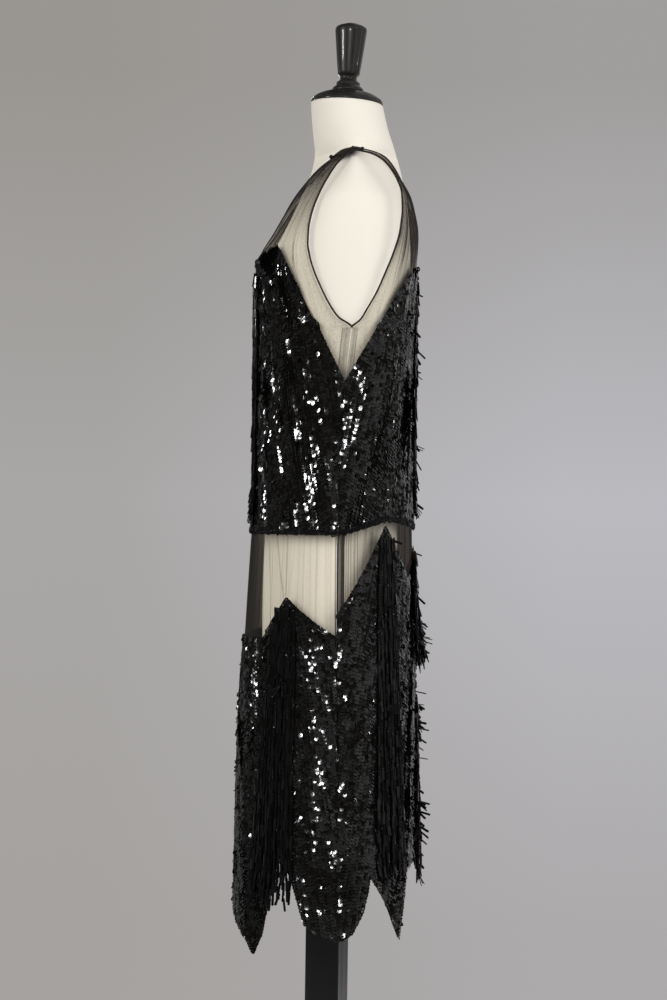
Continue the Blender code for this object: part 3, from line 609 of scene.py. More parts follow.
def gatheredNetFinish():
    finish = Finish("gatheredNet", **netThread)
    y = finish.axis(1)
    u = abs(finish.axis(0, "UV"))
    front = finish.spread(y, -0.0880, -0.0905, 0.0, 0.50) + finish.spread(y, -0.0905, -0.1060, 0.0, 0.30)
    behind = finish.spread(y, 0.004, 0.016, 0.0, 0.28) + finish.spread(y, 0.074, 0.100, 0.0, 0.38)
    creases = folds(finish, 90.0, 1.2, 0.56, 0.66)
    soft = folds(finish, 30.0, 1.0, 0.40, 0.75)
    seam = finish.spread(u, 0.9930, 0.9950)
    allowance = finish.spread(u, 0.9560, 0.9580) * finish.spread(y, 0.0045, 0.0050)
    cover = threadMesh(finish) * (hipCover["threads"] + hipCover["folds"] * soft)
    cover = cover + hipCover["creases"] * creases + front + behind
    cover = cover + hipCover["seam"] * seam + hipCover["allowance"] * allowance
    finish.sheer(cover + creaseOf(finish), netShadeTint)
    return finish


def sequinFinish():
    finish = Finish("blackSequins", Base_Color=(0.0055, 0.005, 0.0045), Specular_IOR_Level=0.5)
    wear = finish.noise(160.0, 2.0)
    hole = finish.spread(finish.axis(0, "UV"), 0.76, 0.82)  # the mesh says how near the middle a place is
    finish.feed("Roughness", finish.spread(wear, 0.3, 0.7, 0.05, 0.14))
    finish.feed("Alpha", 1 - hole)
    return finish


def barFinish():
    finish = Finish("blackBars", Base_Color=(0.004, 0.004, 0.004), Specular_IOR_Level=0.28)
    wear = finish.noise(120.0, 2.0)
    finish.feed("Roughness", finish.spread(wear, 0.3, 0.7, 0.07, 0.20))
    return finish


def groundFinish():
    finish = Finish("sequinGround", Base_Color=(0.005, 0.005, 0.005), Roughness=0.8, Specular_IOR_Level=0.1)
    weave = finish.noise(1400.0, 2.0)
    finish.raised(weave, 0.4, 0.0003)
    return finish


def bindingFinish():
    finish = Finish("blackBinding", Base_Color=(0.018, 0.014, 0.011), Roughness=0.7, Specular_IOR_Level=0.2)
    threads = finish.noise(900.0, 2.0)
    finish.raised(threads, 0.6, 0.0004)
    return finish


def jerseyFinish():
    finish = Finish("ivoryJersey", Roughness=0.9, Specular_IOR_Level=0.15)
    cloudy = finish.noise(6.0, 3.0)
    finish.feed("Base_Color", finish.blend(cloudy, (0.825, 0.785, 0.695), (0.855, 0.812, 0.722)))
    knit = finish.noise(1500.0, 1.0, (1.0, 1.0, 0.4))
    finish.raised(knit, 0.25, 0.0003)
    finish.feed("Sheen_Weight", 0.15)
    return finish


def woodFinish(name, colour, gloss, worn):
    finish = Finish(name, Roughness=gloss, Coat_Weight=0.4)
    grain = finish.noise(55.0, 5.0, (1.0, 1.0, 0.08))
    finish.feed("Base_Color", finish.blend(grain, colour, worn))
    finish.feed("Roughness", finish.spread(grain, 0.3, 0.7, gloss - 0.08, gloss + 0.10))
    finish.raised(grain, 0.25, 0.0006)
    return finish


net = netFinish()
gatheredNet = gatheredNetFinish()
sequinGloss = sequinFinish()
barGloss = barFinish()
ground = groundFinish()
binding = bindingFinish()
jersey = jerseyFinish()
lacquer = woodFinish("blackLacquer", (0.007, 0.006, 0.005), 0.30, (0.018, 0.016, 0.014))
postWood = woodFinish("postWood", (0.002, 0.002, 0.002), 0.36, (0.005, 0.005, 0.005))
print("finishes ready")


# Cloth panels


def creaseAt(lines, u, t):  # how dark and how deep the folds are
    cover = np.zeros_like(u)
    depth = np.zeros_like(u)
    for low, high, width, darkness, raised in lines:
        share = np.exp(-((np.abs(u) - low - (high - low) * t) / width) ** 2)
        cover += darkness * share
        depth += raised * share * np.clip(np.minimum(t, 1 - t) * 9, 0, 1)
    return cover, depth


def fanOf(side, s, x):  # the way the net's gathers fan out from the shoulder, without the V's sharp turn
    rows, lengths = tables[side]
    nearby = [np.interp(s + shift, lengths, rows[:, 2]) for shift in np.linspace(-0.04, 0.04, 9)]
    neckEdge = np.mean(nearby, axis=0)
    armEdge = np.interp(s, lengths, rows[:, 4])
    return (np.abs(x) - neckEdge) / (armEdge - neckEdge)


underlay = 0.0006  # how far the cloth lies inside its plain form


def panelMesh(node, kind, side, panelName, finish, us, rows, lines=(), ripple=None):
    bottoms, ends = limits(side, panelName, us)
    t = np.repeat(np.linspace(0, 1, rows)[None], len(us), axis=0)
    s = bottoms[:, None] + (ends - bottoms)[:, None] * t
    u = np.repeat(us[:, None], rows, axis=1)
    cover, depth = creaseAt(lines, u, t)
    out = drape(side, panelName, u, s) + depth - underlay
    if ripple is not None:
        out = out + ripple(u, s, t)
    points = shell(side, u, s, out)
    joined = np.repeat(np.diff(us) > 0, rows - 1)  # the neck's V parts two halves that meet below it
    faces = gridFaces(len(us), rows, flip=side == "back")[joined]
    made = meshOf(node + kind, points.reshape(-1, 3), faces, finish)
    corners = np.empty(len(made.data.loops), dtype=np.int32)
    made.data.loops.foreach_get("vertex_index", corners)
    fan = fanOf(side, s, points[..., 0]) if panelName == "yoke" else u
    for layer, first, second in (("cloth", u, s), ("crease", cover, t), ("fan", fan, s)):
        spots = np.stack([first.ravel(), second.ravel()], axis=1)[corners]
        made.data.uv_layers.new(name=layer).data.foreach_set("uv", spots.ravel())
    if finish is not ground:  # light reaches the form through the net as if it were not there
        made.visible_shadow = False
        made.visible_diffuse = False
    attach(made, "root")
    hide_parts(node)
    return made


# Sequins

sequins = {
    "radius": 0.0034,
    "across": 0.0052,  # from one string of sequins to the next
    "down": 0.0043,
    "slant": 0.21,
    "cup": 0.00012,
    "tilt": 8.5,
    "jitter": 2.8,
    "lean": 14.0,  # degrees more tilt for each metre down, from the middle
    "middle": 0.61,
    "loose": 0.05,  # share of sequins that curl away from the cloth, and how far
    "curl": 24.0,
    "twist": 9.0,  # how far each string turns its sequins, and how far the cloth's folds do
    "pucker": 7.5,
    "lift": 0.0008,
    "scatter": 0.0002,
}

# y and z of the lower end, y and z of the upper end, width, degrees that its sequins turn to the front
sequinCreases = (
    (-0.065, 0.985, -0.070, 1.040, 0.004, -18.0),
    (-0.045, 1.025, -0.055, 1.095, 0.004, -4.0),
    (-0.025, 0.930, -0.045, 1.025, 0.005, 8.0),
    (-0.022, 0.930, -0.036, 1.065, 0.005, 14.0),
    (-0.058, 1.140, -0.065, 1.175, 0.004, -12.0),
    (-0.076, 1.090, -0.080, 1.120, 0.004, -25.0),
    (-0.085, 1.225, -0.105, 1.270, 0.010, -38.0),
    (0.010, 1.010, 0.015, 1.080, 0.005, 4.0),
    (0.042, 1.083, 0.026, 1.126, 0.007, 18.0),
    (-0.098, 0.670, -0.097, 0.780, 0.012, -31.0),
    (0.006, 0.725, 0.010, 0.770, 0.005, 3.0),
    (0.009, 0.810, 0.013, 0.830, 0.004, 5.0),
    (0.000, 0.692, -0.012, 0.720, 0.006, -1.0),
    (-0.005, 0.652, -0.009, 0.673, 0.005, -2.0),
    (-0.008, 0.594, -0.011, 0.614, 0.004, -3.0),
    (-0.037, 0.572, -0.049, 0.588, 0.006, 8.0),
    (-0.020, 0.542, -0.040, 0.556, 0.007, 15.0),
    (-0.028, 0.484, -0.027, 0.532, 0.006, 16.0),
    (0.005, 0.490, 0.012, 0.516, 0.005, 3.0),
)


def creased(point, across):  # degrees that each sequin turns to the front, and how near a crease it lies
    turn = np.zeros(len(point))
    near = np.zeros(len(point))
    for lowY, lowZ, highY, highZ, width, degrees in sequinCreases:
        t = (point[:, 2] - lowZ) / (highZ - lowZ)
        aside = (point[:, 1] - lowY - (highY - lowY) * np.clip(t, 0, 1)) / width
        aside /= np.maximum(np.abs(across[:, 1]), 0.15)  # measured along the cloth
        share = np.exp(-aside ** 4) * np.clip(np.minimum(t, 1 - t) * 8 + 1, 0, 1)
        turn = turn * (1 - share) + degrees * share
        near = near * (1 - share) + share
    return turn, near


def cupShape(sides=8):
    angles = turns(sides)
    rim = np.stack([np.cos(angles), np.sin(angles), np.zeros(sides)], axis=1) * sequins["radius"]
    points = np.concatenate([rim, [[0.0, 0.0, -sequins["cup"]]]])
    here = np.arange(sides)
    return points, np.stack([here, (here + 1) % sides, np.full(sides, sides)], axis=1)


def tilted(across, up, normal, spin, pitch, yaw):  # pitch about across, yaw about up, spin in their plane
    cp, sp = np.cos(pitch)[:, None], np.sin(pitch)[:, None]
    cy, sy = np.cos(yaw)[:, None], np.sin(yaw)[:, None]
    up2 = up * cp - normal * sp
    normal2 = normal * cp + up * sp
    across2 = across * cy - normal2 * sy
    normal3 = normal2 * cy + across * sy
    cs, ss = np.cos(spin)[:, None], np.sin(spin)[:, None]
    return np.stack([across2 * cs + up2 * ss, up2 * cs - across2 * ss, normal3], axis=1)


def softNoise(a, b, columns=97, rows=89):  # smooth random field, one cell to a unit
    field = rng.normal(0, 1, (columns, rows))
    ia, ib = np.floor(a).astype(int), np.floor(b).astype(int)
    ta, tb = a - ia, b - ib
    ta, tb = ta * ta * (3 - 2 * ta), tb * tb * (3 - 2 * tb)
    ia, nextA, ib, nextB = ia % columns, (ia + 1) % columns, ib % rows, (ib + 1) % rows
    near = field[ia, ib] * (1 - ta) + field[nextA, ib] * ta
    far = field[ia, nextB] * (1 - ta) + field[nextA, nextB] * ta
    return near * (1 - tb) + far * tb


ringUs = np.linspace(0, 1, 301)


def ringLengths(side, s):  # length round the cloth from its centre to each of ringUs
    return lengthAlong(plainShell(side, ringUs, np.full_like(ringUs, s)))


def sequinPlaces(side, panelName):  # u, s and slanted distance from the centre, for every sequin
    lows, highs = limits(side, panelName, ringUs)
    lowest, highest = lows.min(), highs.max()
    step = 0.004
    strings = np.arange(0.0, 0.36 + sequins["slant"] * highest, sequins["across"])
    phases = rng.uniform(0, sequins["down"], (2, len(strings)))
    us, ss, slants = [], [], []
    level = lowest
    while level < highest:
        lengths = ringLengths(side, level + step / 2)
        for half, sign in enumerate((1, -1)):
            first = np.ceil((level - phases[half]) / sequins["down"])
            for extra in range(2):
                s = (first + extra) * sequins["down"] + phases[half]
                arc = strings - sequins["slant"] * s
                u = np.interp(arc, lengths, ringUs)
                low = np.interp(u, ringUs, lows) + sequins["radius"] * 0.5
                high = np.interp(u, ringUs, highs) - sequins["radius"] * 0.3
                kept = (s < level + step) & (arc > 0) & (arc < lengths[-1] - 0.001) & (s > low) & (s < high)
                us.append(sign * u[kept])
                ss.append(s[kept])
                slants.append(sign * strings[kept])
        level += step
    fine = np.linspace(-1, 1, 1201)
    lengths = ringLengths(side, (lowest + highest) / 2)
    for edge, inset in zip(limits(side, panelName, fine), (0.55, -0.35)):  # a closer row along each edge
        s = edge + inset * sequins["radius"]
        reach = lengthAlong(plainShell(side, fine, s))
        spots = np.arange(sequins["down"] / 2, reach[-1], sequins["down"])
        us.append(np.interp(spots, reach, fine))
        ss.append(np.interp(spots, reach, s))
        slants.append(np.interp(np.abs(us[-1]), ringUs, lengths) + sequins["slant"] * ss[-1])
    return np.concatenate(us), np.concatenate(ss), np.concatenate(slants)


def sequinPanel(name, side, panelName):
    u, s, slant = sequinPlaces(side, panelName)
    count = len(u)
    s = s + rng.normal(0, sequins["scatter"], count)
    point, normal, up = shellFrame(side, u, s)
    across = np.cross(up, normal)
    string = np.round(slant / sequins["across"])
    folded = sequins["twist"] * softNoise(0.6 * string + 60, s / 0.045)
    folded += sequins["pucker"] * softNoise(slant / 0.04 + 50, s / 0.12)
    sagged = 0.9 * sequins["pucker"] * softNoise(0.6 * string + 60, s / 0.030)
    turn, near = creased(point, across)  # a crease turns its sequins all one way
    sagged = sagged * (1 - 0.85 * near) + sequins["tilt"] + sequins["lean"] * (sequins["middle"] - s)
    folded = folded * (1 - near) - np.sign(point[:, 0]) * turn
    jitter = sequins["jitter"] * (1 - 0.5 * near)
    pitch = np.radians(sagged + jitter * rng.normal(0, 1, count))
    yaw = np.radians(folded + jitter * rng.normal(0, 1, count))
    loose = rng.uniform(0, 1, count) < sequins["loose"]
    pitch += loose * np.radians(np.abs(rng.normal(0, sequins["curl"], count)))
    yaw += loose * np.radians(rng.normal(0, sequins["curl"], count))
    axes = tilted(across, up, normal, rng.uniform(0, 2 * np.pi, count), pitch, yaw)
    lift = drape(side, panelName, u, s) + sequins["lift"] + rng.uniform(0, 0.0005, count) + 0.0009 * loose
    point = point + normal * lift[:, None] + across * rng.normal(0, sequins["scatter"], (count, 1))
    points, faces = copiesOf(cupShape(), point, axes)
    made = meshOf(name, points, faces, sequinGloss)
    middles = np.tile([[0.0, 0.0], [0.0, 0.0], [1.0, 0.0]], (len(faces), 1))
    made.data.uv_layers.new(name="middle").data.foreach_set("uv", middles.ravel())
    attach(made, "root")
    print(name, count, "sequins")
    return made


# Fringes: threads of flat bars that hang from a narrow strip

# side, centre u, top level, lowest and highest ends, width at strip and tips, lift at tips, share of
# the lift that the innermost strands have, strands, usual splay in degrees, share of bars that stick out
fringes = {
    "fringe_bodice_front": ("front", 0.0, 1.2640, 0.924, 0.932, 0.120, 0.124, 0.0008, 1.0, 34, 4.0, 0.0),
    "fringe_bodice_back": ("back", 0.0, 1.2560, 0.934, 0.944, 0.076, 0.080, 0.0020, 0.2, 24, 7.0, 0.03),
    "fringe_back_upper": ("back", 0.0, 0.8930, 0.730, 0.748, 0.096, 0.112, 0.0150, 0.1, 44, 9.0, 0.07),
    "fringe_back_lower": ("back", 0.0, 0.7010, 0.4445, 0.466, 0.096, 0.112, 0.0080, 0.1, 40, 9.0, 0.08),
    "fringe_front_left": ("front", 0.670, 0.8240, 0.434, 0.460, 0.026, 0.074, 0.0025, 0.6, 26, 4.5, 0.008),
    "fringe_front_right": ("front", -0.670, 0.8240, 0.434, 0.460, 0.026, 0.074, 0.0025, 0.6, 26, 4.5, 0.008),
    "fringe_side_left": ("back", 0.615, 0.9130, 0.4676, 0.490, 0.026, 0.054, 0.0025, 0.6, 22, 3.5, 0.012),
    "fringe_side_right": ("back", -0.615, 0.9130, 0.4676, 0.490, 0.026, 0.054, 0.0025, 0.6, 22, 3.5, 0.012),
}
bar = {
    "length": 0.0170,
    "width": 0.0032,
    "thick": 0.0010,
    "step": 0.0140,
    "tipSplay": 3.0,
    "standOff": 0.0016,
    "layer": 0.0012,  # every other strand hangs this much further out
    "fluff": 0.0006,
    "sway": 0.0018,
    "scatter": 0.0004,
}


def barShape():  # hangs from its upper end
    across = np.array([-1, 1, 1, -1]) * bar["width"] / 2
    deep = np.array([-1, -1, 1, 1]) * bar["thick"] / 2
    rings = []
    for end, share in ((0.0, 0.6), (0.07, 1.0), (0.93, 1.0), (1.0, 0.6)):
        rings.append(np.stack([across * share, np.full(4, -end * bar["length"]), deep * share], axis=1))
    faces = []
    for ring in range(3):
        for k in range(4):
            a = 4 * ring + k
            b = 4 * ring + (k + 1) % 4
            faces.append((b, a, a + 4, b + 4))
    faces.append((0, 1, 2, 3))
    faces.append((15, 14, 13, 12))
    return np.concatenate(rings), np.array(faces)


def fringe(name):
    side, centre, top, longest, shortest, widthTop, widthTip, *rest = fringes[name]
    lift, inner, strands, splay, wild = rest
    start = heightOf(side, top) - 0.002
    stations = np.linspace(heightOf(side, longest) - 0.001, start + 0.001, 60)
    rings = np.array([ringLengths(side, s) for s in stations])
    middle = np.interp(abs(centre), ringUs, ringLengths(side, start))
    us, ss, outs, shares = [], [], [], []
    for strand in range(strands):
        place = strand / (strands - 1) - 0.5
        tip = heightOf(side, longest + (shortest - longest) * rng.uniform() ** 1.5)
        phase = rng.uniform(0, 6)
        layer = (strand % 2) * bar["layer"]
        share = rng.uniform(inner, 1.0)
        s = start - rng.uniform(0, bar["step"] * 0.5)
        while s > tip + 0.8 * bar["length"]:
            t = (start - s) / (start - tip)
            width = widthTop + (widthTip - widthTop) * t ** 0.8
            sway = bar["sway"] * math.sin(4 * t + phase)
            arc = middle + place * width + sway + rng.normal(0, bar["scatter"])
            lengths = rings[np.abs(stations - s).argmin()]
            us.append(math.copysign(np.interp(abs(arc), lengths, ringUs), arc))
            ss.append(s)
            outs.append(bar["standOff"] + layer + share * lift * t ** 1.4 + rng.uniform(0, bar["fluff"]))
            shares.append(t)
            s -= bar["step"] * rng.uniform(0.85, 1.1)
    us, ss, outs, shares = np.array(us), np.array(ss), np.array(outs), np.array(shares)
    if centre < 0:
        us = -us
    count = len(us)
    point, normal, up = shellFrame(side, us, ss)
    across = np.cross(up, normal)
    swing = np.radians(np.abs(rng.normal(0, splay, count)) * (0.7 + bar["tipSplay"] * shares ** 12))
    clumps = softNoise(us * 30 + 40, ss / 0.035) + rng.normal(0, 0.5, count)
    loose = clumps > np.quantile(clumps, 1 - wild)
    swing[loose] = np.radians(rng.uniform(20, 80, loose.sum()))
    facing = rng.uniform(0, np.pi, count)
    aside = across * np.cos(facing)[:, None] + normal * np.sin(facing)[:, None]
    length = up * np.cos(swing)[:, None] - aside * np.sin(swing)[:, None]
    spin = np.where(loose, rng.uniform(-1.5, 1.5, count), rng.normal(0, 0.25, count))
    wide = across * np.cos(spin)[:, None] + normal * np.sin(spin)[:, None]
    wide = unit(wide - length * np.sum(wide * length, axis=1, keepdims=True))
    rise = drape(side, "skirt" if top < 0.95 else "bodice", us, ss)
    upperEnds = point + normal * (outs + rise)[:, None]
    axes = np.stack([wide, length, np.cross(wide, length)], axis=1)
    points, faces = copiesOf(barShape(), upperEnds, axes)
    made = meshOf(name + "_bars", points, faces, barGloss, smooth=False)
    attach(made, "root")
    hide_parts(name)
    print(name, count, "bars")
    return made


# Build the dress

# u at the lower and upper edge, width in u, cover and depth of each fold
frontHipFolds = (
    (0.539, 0.470, 0.004, 0.30, 0.0012), (0.560, 0.505, 0.005, 0.10, 0.0008),
    (0.660, 0.560, 0.004, 0.40, 0.0010), (0.672, 0.664, 0.004, 0.34, 0.0008),
    (0.690, 0.730, 0.005, 0.08, 0.0006), (0.860, 0.850, 0.006, 0.06, 0.0006),
    (0.950, 0.948, 0.005, 0.10, 0.0006),
)
backHipFolds = (
    (0.948, 0.946, 0.004, 0.34, 0.0008), (0.934, 0.930, 0.004, 0.40, 0.0008),
    (0.912, 0.916, 0.004, 0.36, 0.0008), (0.890, 0.880, 0.006, 0.14, 0.0006),
    (0.860, 0.866, 0.005, 0.36, 0.0008), (0.820, 0.800, 0.010, 0.20, 0.0008),
    (0.760, 0.740, 0.008, 0.22, 0.0008), (0.690, 0.700, 0.020, 0.16, 0.0008),
    (0.350, 0.360, 0.060, 0.20, 0.0010),
)
frontYokeFolds = (
    (0.270, 0.860, 0.030, 0.20, 0.0016), (0.120, 0.700, 0.040, 0.14, 0.0012),
    (0.420, 0.930, 0.020, 0.10, 0.0008), (0.000, 0.450, 0.060, 0.12, 0.0010),
    (0.980, 0.985, 0.008, 0.20, 0.0004),
)
backYokeFolds = (
    (0.720, 0.900, 0.012, 0.22, 0.0012), (0.660, 0.780, 0.014, 0.16, 0.0010),
    (0.560, 0.640, 0.025, 0.18, 0.0012), (0.360, 0.420, 0.080, 0.14, 0.0014),
    (0.200, 0.200, 0.060, 0.10, 0.0010), (0.980, 0.985, 0.008, 0.20, 0.0004),
)


def hipRipple():
    phases = rng.uniform(0, 2 * np.pi, 5)
    waves = ((61, 0.0006), (97, 0.0005), (37, 0.0007), (151, 0.0003), (23, 0.0005))

    def rippled(u, s, t):
        depth = np.zeros_like(u)
        for (wave, size), phase in zip(waves, phases):
            depth += size * np.sin(wave * u + phase + (5 + 0.05 * wave) * s)
        return (depth - 0.0016) * np.clip(np.minimum(t, 1 - t) * 9, 0, 1)

    return rippled


def yokeRipple(u, s, t):
    hang = 0.0008 * np.sin(31 * np.abs(u) + 6 * t) * np.sin(np.pi * np.clip(t, 0, 1))
    return hang - 0.0005


dress = {}
for side, hipFolds in (("front", frontHipFolds), ("back", backHipFolds)):
    bodice, skirt, hip = "bodice_" + side, "skirt_" + side, "hip_net_" + side
    dress[bodice] = panelMesh(bodice, "_cloth", side, "bodice", ground, np.linspace(-1, 1, 161), 60)
    dress[skirt] = panelMesh(skirt, "_cloth", side, "skirt", ground, np.linspace(-1, 1, 241), 70)
    hipUs = np.linspace(-1, 1, 601)
    dress[hip] = panelMesh(hip, "_cloth", side, "hip", gatheredNet, hipUs, 24, hipFolds, hipRipple())
    for panelName in ("bodice", "skirt"):
        sewn = panelName + "_" + side + "_sequins"
        dress[sewn] = sequinPanel(sewn, side, panelName)
leftUs = np.linspace(0, 1, 121)
rightUs = -leftUs[::-1]
yokes = {
    "yoke_front_left": ("front", leftUs, frontYokeFolds),
    "yoke_front_right": ("front", rightUs, frontYokeFolds),
    "yoke_back": ("back", np.concatenate([rightUs, leftUs]), backYokeFolds),
}
for node, (side, us, yokeFolds) in yokes.items():
    dress[node] = panelMesh(node, "_net", side, "yoke", net, us, 90, yokeFolds, yokeRipple)
dress["yoke_back"].modifiers.new("CentreSeam", "WELD").merge_threshold = mergeDistance
print("panels ready")

for name in fringes:
    dress[name] = fringe(name)
print("fringes ready")


# Bindings along the armholes and the neck


rolls = {"armhole": 0.0012, "neck": 0.0009, "reach": 0.0009, "points": 90}  # radii, reach past the edge


def edgeLoop(side, u, fromLevel):
    s = np.linspace(heightOf(side, fromLevel), tables[side][1][-1], rolls["points"])
    here = plainShell(side, np.full_like(s, u), s)
    inset = 0.9 if u else 0.05  # a place on the cloth, a little way in from the edge
    return here, plainShell(side, np.full_like(s, inset), s) - here


def bindingLoop(edge, inward):
    ahead = unit(np.roll(edge, -1, axis=0) - np.roll(edge, 1, axis=0))
    away = unit(-(inward - ahead * np.sum(inward * ahead, axis=1, keepdims=True)))
    return edge + away * rolls["reach"], away


flipX = np.array([-1.0, 1.0, 1.0])


def armholeBindings():
    front, frontIn = edgeLoop("front", 1.0, foot)
    back, backIn = edgeLoop("back", 1.0, foot)
    frontIn[0] = (0.0, 0.0, -0.02)
    edge = np.concatenate([(front[:1] + back[:1]) / 2, front[1:], back[1:-1][::-1]])
    inward = np.concatenate([frontIn, backIn[1:-1][::-1]])
    centres, away = bindingLoop(edge, inward)
    for name, flip in (("left", np.ones(3)), ("right", flipX)):
        node = "armhole_binding_" + name
        made = ringTube(node + "_roll", centres * flip, away * flip, rolls["armhole"], binding)
        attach(made, "root")
        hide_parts(node)


def neckBinding():
    front, frontIn = edgeLoop("front", 0.0, 1.279)
    back, backIn = edgeLoop("back", 0.0, 1.322)
    left = np.concatenate([front[1:], back[1:-1][::-1]])
    leftIn = np.concatenate([frontIn[1:], backIn[1:-1][::-1]])
    down = np.array([[0.0, 0.0, -0.02]])
    frontDip, backDip = (half[:1] * np.array([0.0, 1.0, 1.0]) for half in (front, back))
    edge = np.concatenate([frontDip, left, backDip, (left * flipX)[::-1]])
    inward = np.concatenate([down, leftIn, down, (leftIn * flipX)[::-1]])
    centres, away = bindingLoop(edge, inward)
    made = ringTube("neck_binding_roll", centres, away, rolls["neck"], binding)
    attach(made, "root")
    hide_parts("neck_binding")


armholeBindings()
neckBinding()


# Beaded edging on the bodice hem, and shoulder tabs with their knots

beads = {
    "radius": 0.0014,
    "step": 0.0026,
    # how far each row lies up the cloth from the hem, and off it
    "rows": ((-0.0010, 0.0008), (0.0010, 0.0014), (0.0028, 0.0016), (0.0046, 0.0010)),
    "scatter": 0.0006,
}


def beadShape(rings=4, spokes=6):
    points = [(0.0, 0.0, 1.0)]
    for ring in range(1, rings):
        wide, high = math.sin(math.pi * ring / rings), math.cos(math.pi * ring / rings)
        for k in range(spokes):
            turn = 2 * math.pi * k / spokes
            points.append((wide * math.cos(turn), wide * math.sin(turn), high))
    points.append((0.0, 0.0, -1.0))
    faces = []
    last = len(points) - 1
    for k in range(spokes):
        beside = (k + 1) % spokes
        faces.append((0, 1 + k, 1 + beside))
        faces.append((last, last - spokes + beside, last - spokes + k))
        for ring in range(rings - 2):
            a = 1 + ring * spokes
            faces.append((a + k, a + spokes + k, a + beside))
            faces.append((a + beside, a + spokes + k, a + spokes + beside))
    return np.array(points), np.array(faces)


def beadEdging(side):
    fine = np.linspace(-1, 1, 801)
    level = along(waists[side], np.abs(fine))
    lengths = lengthAlong(plainShell(side, fine, heightOf(side, level)))
    centres = []
    scatter = beads["scatter"]
    for row, (rise, out) in enumerate(beads["rows"]):
        spots = np.arange(beads["step"] * (0.5 + 0.5 * (row % 2)), lengths[-1], beads["step"])
        u = np.interp(spots, lengths, fine)
        s = heightOf(side, along(waists[side], np.abs(u))) + rise + rng.normal(0, scatter, len(u))
        centres.append(shell(side, u, s, out + rng.uniform(0, scatter, len(u))))
    centres = np.concatenate(centres)
    shapePoints, shapeFaces = beadShape()
    axes = np.tile(np.eye(3), (len(centres), 1, 1)) * rng.uniform(0.85, 1.2, (len(centres), 1, 1))
    points, faces = copiesOf((shapePoints * beads["radius"], shapeFaces), centres, axes)
    made = meshOf("edging_" + side + "_beads", points, faces, barGloss)
    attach(made, "root")
    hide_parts("edging_" + side)
    return made


tab = {
    "front": 0.024,
    "back": 0.007,
    "pleats": 9,
    "pleat": 0.0004,
    "lift": 0.0012,
    "columns": 64,
    "wall": 0.0006,
    "knotLift": 0.0020,
}
# side, u, distance below the seam, radius
knotPlaces = (
    ("front", 0.10, 0.0255, 0.0028), ("front", 0.97, 0.0040, 0.0024), ("front", 0.45, 0.0020, 0.0022),
    ("back", 0.55, 0.0085, 0.0026),
)


def shoulderTab(name, sign):
    mirror = np.array([sign, 1.0, 1.0])
    us = np.linspace(0.02, 0.98, tab["columns"])
    pleats = tab["pleat"] * np.cos(2 * np.pi * tab["pleats"] * us)
    rows = []
    for step in np.linspace(tab["front"], 0.0003, 12):
        taper = 1 - 0.6 * step / tab["front"]
        rows.append(shell("front", us, tables["front"][1][-1] - step, tab["lift"] * taper + pleats * taper))
    for step in np.linspace(0.0003, tab["back"], 5):
        rows.append(shell("back", us, tables["back"][1][-1] - step, tab["lift"] + pleats))
    points = (np.array(rows) * mirror).reshape(-1, 3)
    faces = gridFaces(len(rows), tab["columns"], flip=sign < 0)
    made = meshOf("shoulder_tab_" + name + "_tape", points, faces, binding)
    made.modifiers.new("Wall", "SOLIDIFY").thickness = tab["wall"]
    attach(made, "root")
    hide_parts("shoulder_tab_" + name)
    spots = []
    for side, u, step, radius in knotPlaces:
        spots.append(shell(side, u, tables[side][1][-1] - step, tab["knotLift"]) * mirror)
    sizes = np.array(knotPlaces)[:, 3].astype(float)
    points, faces = copiesOf(beadShape(6, 8), np.array(spots), np.eye(3) * sizes[:, None, None])
    knots = meshOf("shoulder_knots_" + name, points, faces, binding)
    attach(knots, "root")


for side in ("front", "back"):
    dress["edging_" + side] = beadEdging(side)
shoulderTab("left", 1.0)
shoulderTab("right", -1.0)
print("trim ready")


# Dress form

# level, yFront, yBack, halfWidth, ySide, roundness
formRows = (
    (0.700, -0.0860, 0.0820, 0.1480, 0.0040, 0.87),
    (0.712, -0.0895, 0.0855, 0.1530, 0.0040, 0.87),
    (0.750, -0.0925, 0.0890, 0.1580, 0.0040, 0.87),
    (0.810, -0.0935, 0.0900, 0.1600, 0.0040, 0.87),
    (0.877, -0.0925, 0.0870, 0.1590, 0.0040, 0.87),
    (0.930, -0.0900, 0.0850, 0.1530, 0.0045, 0.87),
    (0.985, -0.0880, 0.0840, 0.1440, 0.0060, 0.87),
    (1.040, -0.0900, 0.0870, 0.1430, 0.0080, 0.87),
    (1.110, -0.0955, 0.0930, 0.1510, 0.0110, 0.87),
    (1.176, -0.1000, 0.0970, 0.1580, 0.0170, 0.87),
    (1.230, -0.0995, 0.0985, 0.1570, 0.0195, 0.86),
    (1.275, -0.0900, 0.0985, 0.1540, 0.0210, 0.78),
    (1.311, -0.0725, 0.0970, 0.1500, 0.0210, 0.74),
    (1.340, -0.0585, 0.0945, 0.1440, 0.0210, 0.78),
    (1.365, -0.0490, 0.0915, 0.1360, 0.0210, 1.02),
    (1.385, -0.0425, 0.0880, 0.1260, 0.0212, 1.40),
    (1.398, -0.0365, 0.0850, 0.1140, 0.0213, 1.60),
    (1.406, -0.0345, 0.0830, 0.1055, 0.0214, 1.75),
    (1.412, -0.0332, 0.0812, 0.0960, 0.0215, 1.90),
    (1.417, -0.0326, 0.0797, 0.0790, 0.0215, 1.95),
    (1.4205, -0.0322, 0.0785, 0.0610, 0.0214, 1.70),
    (1.428, -0.0320, 0.0765, 0.0535, 0.0205, 1.25),
    (1.440, -0.0335, 0.0725, 0.0510, 0.0180, 1.03),
    (1.457, -0.0356, 0.0670, 0.0505, 0.0135, 1.00),
    (1.475, -0.0372, 0.0625, 0.0495, 0.0115, 1.00),
    (1.491, -0.0383, 0.0589, 0.0490, 0.0103, 1.00),
)
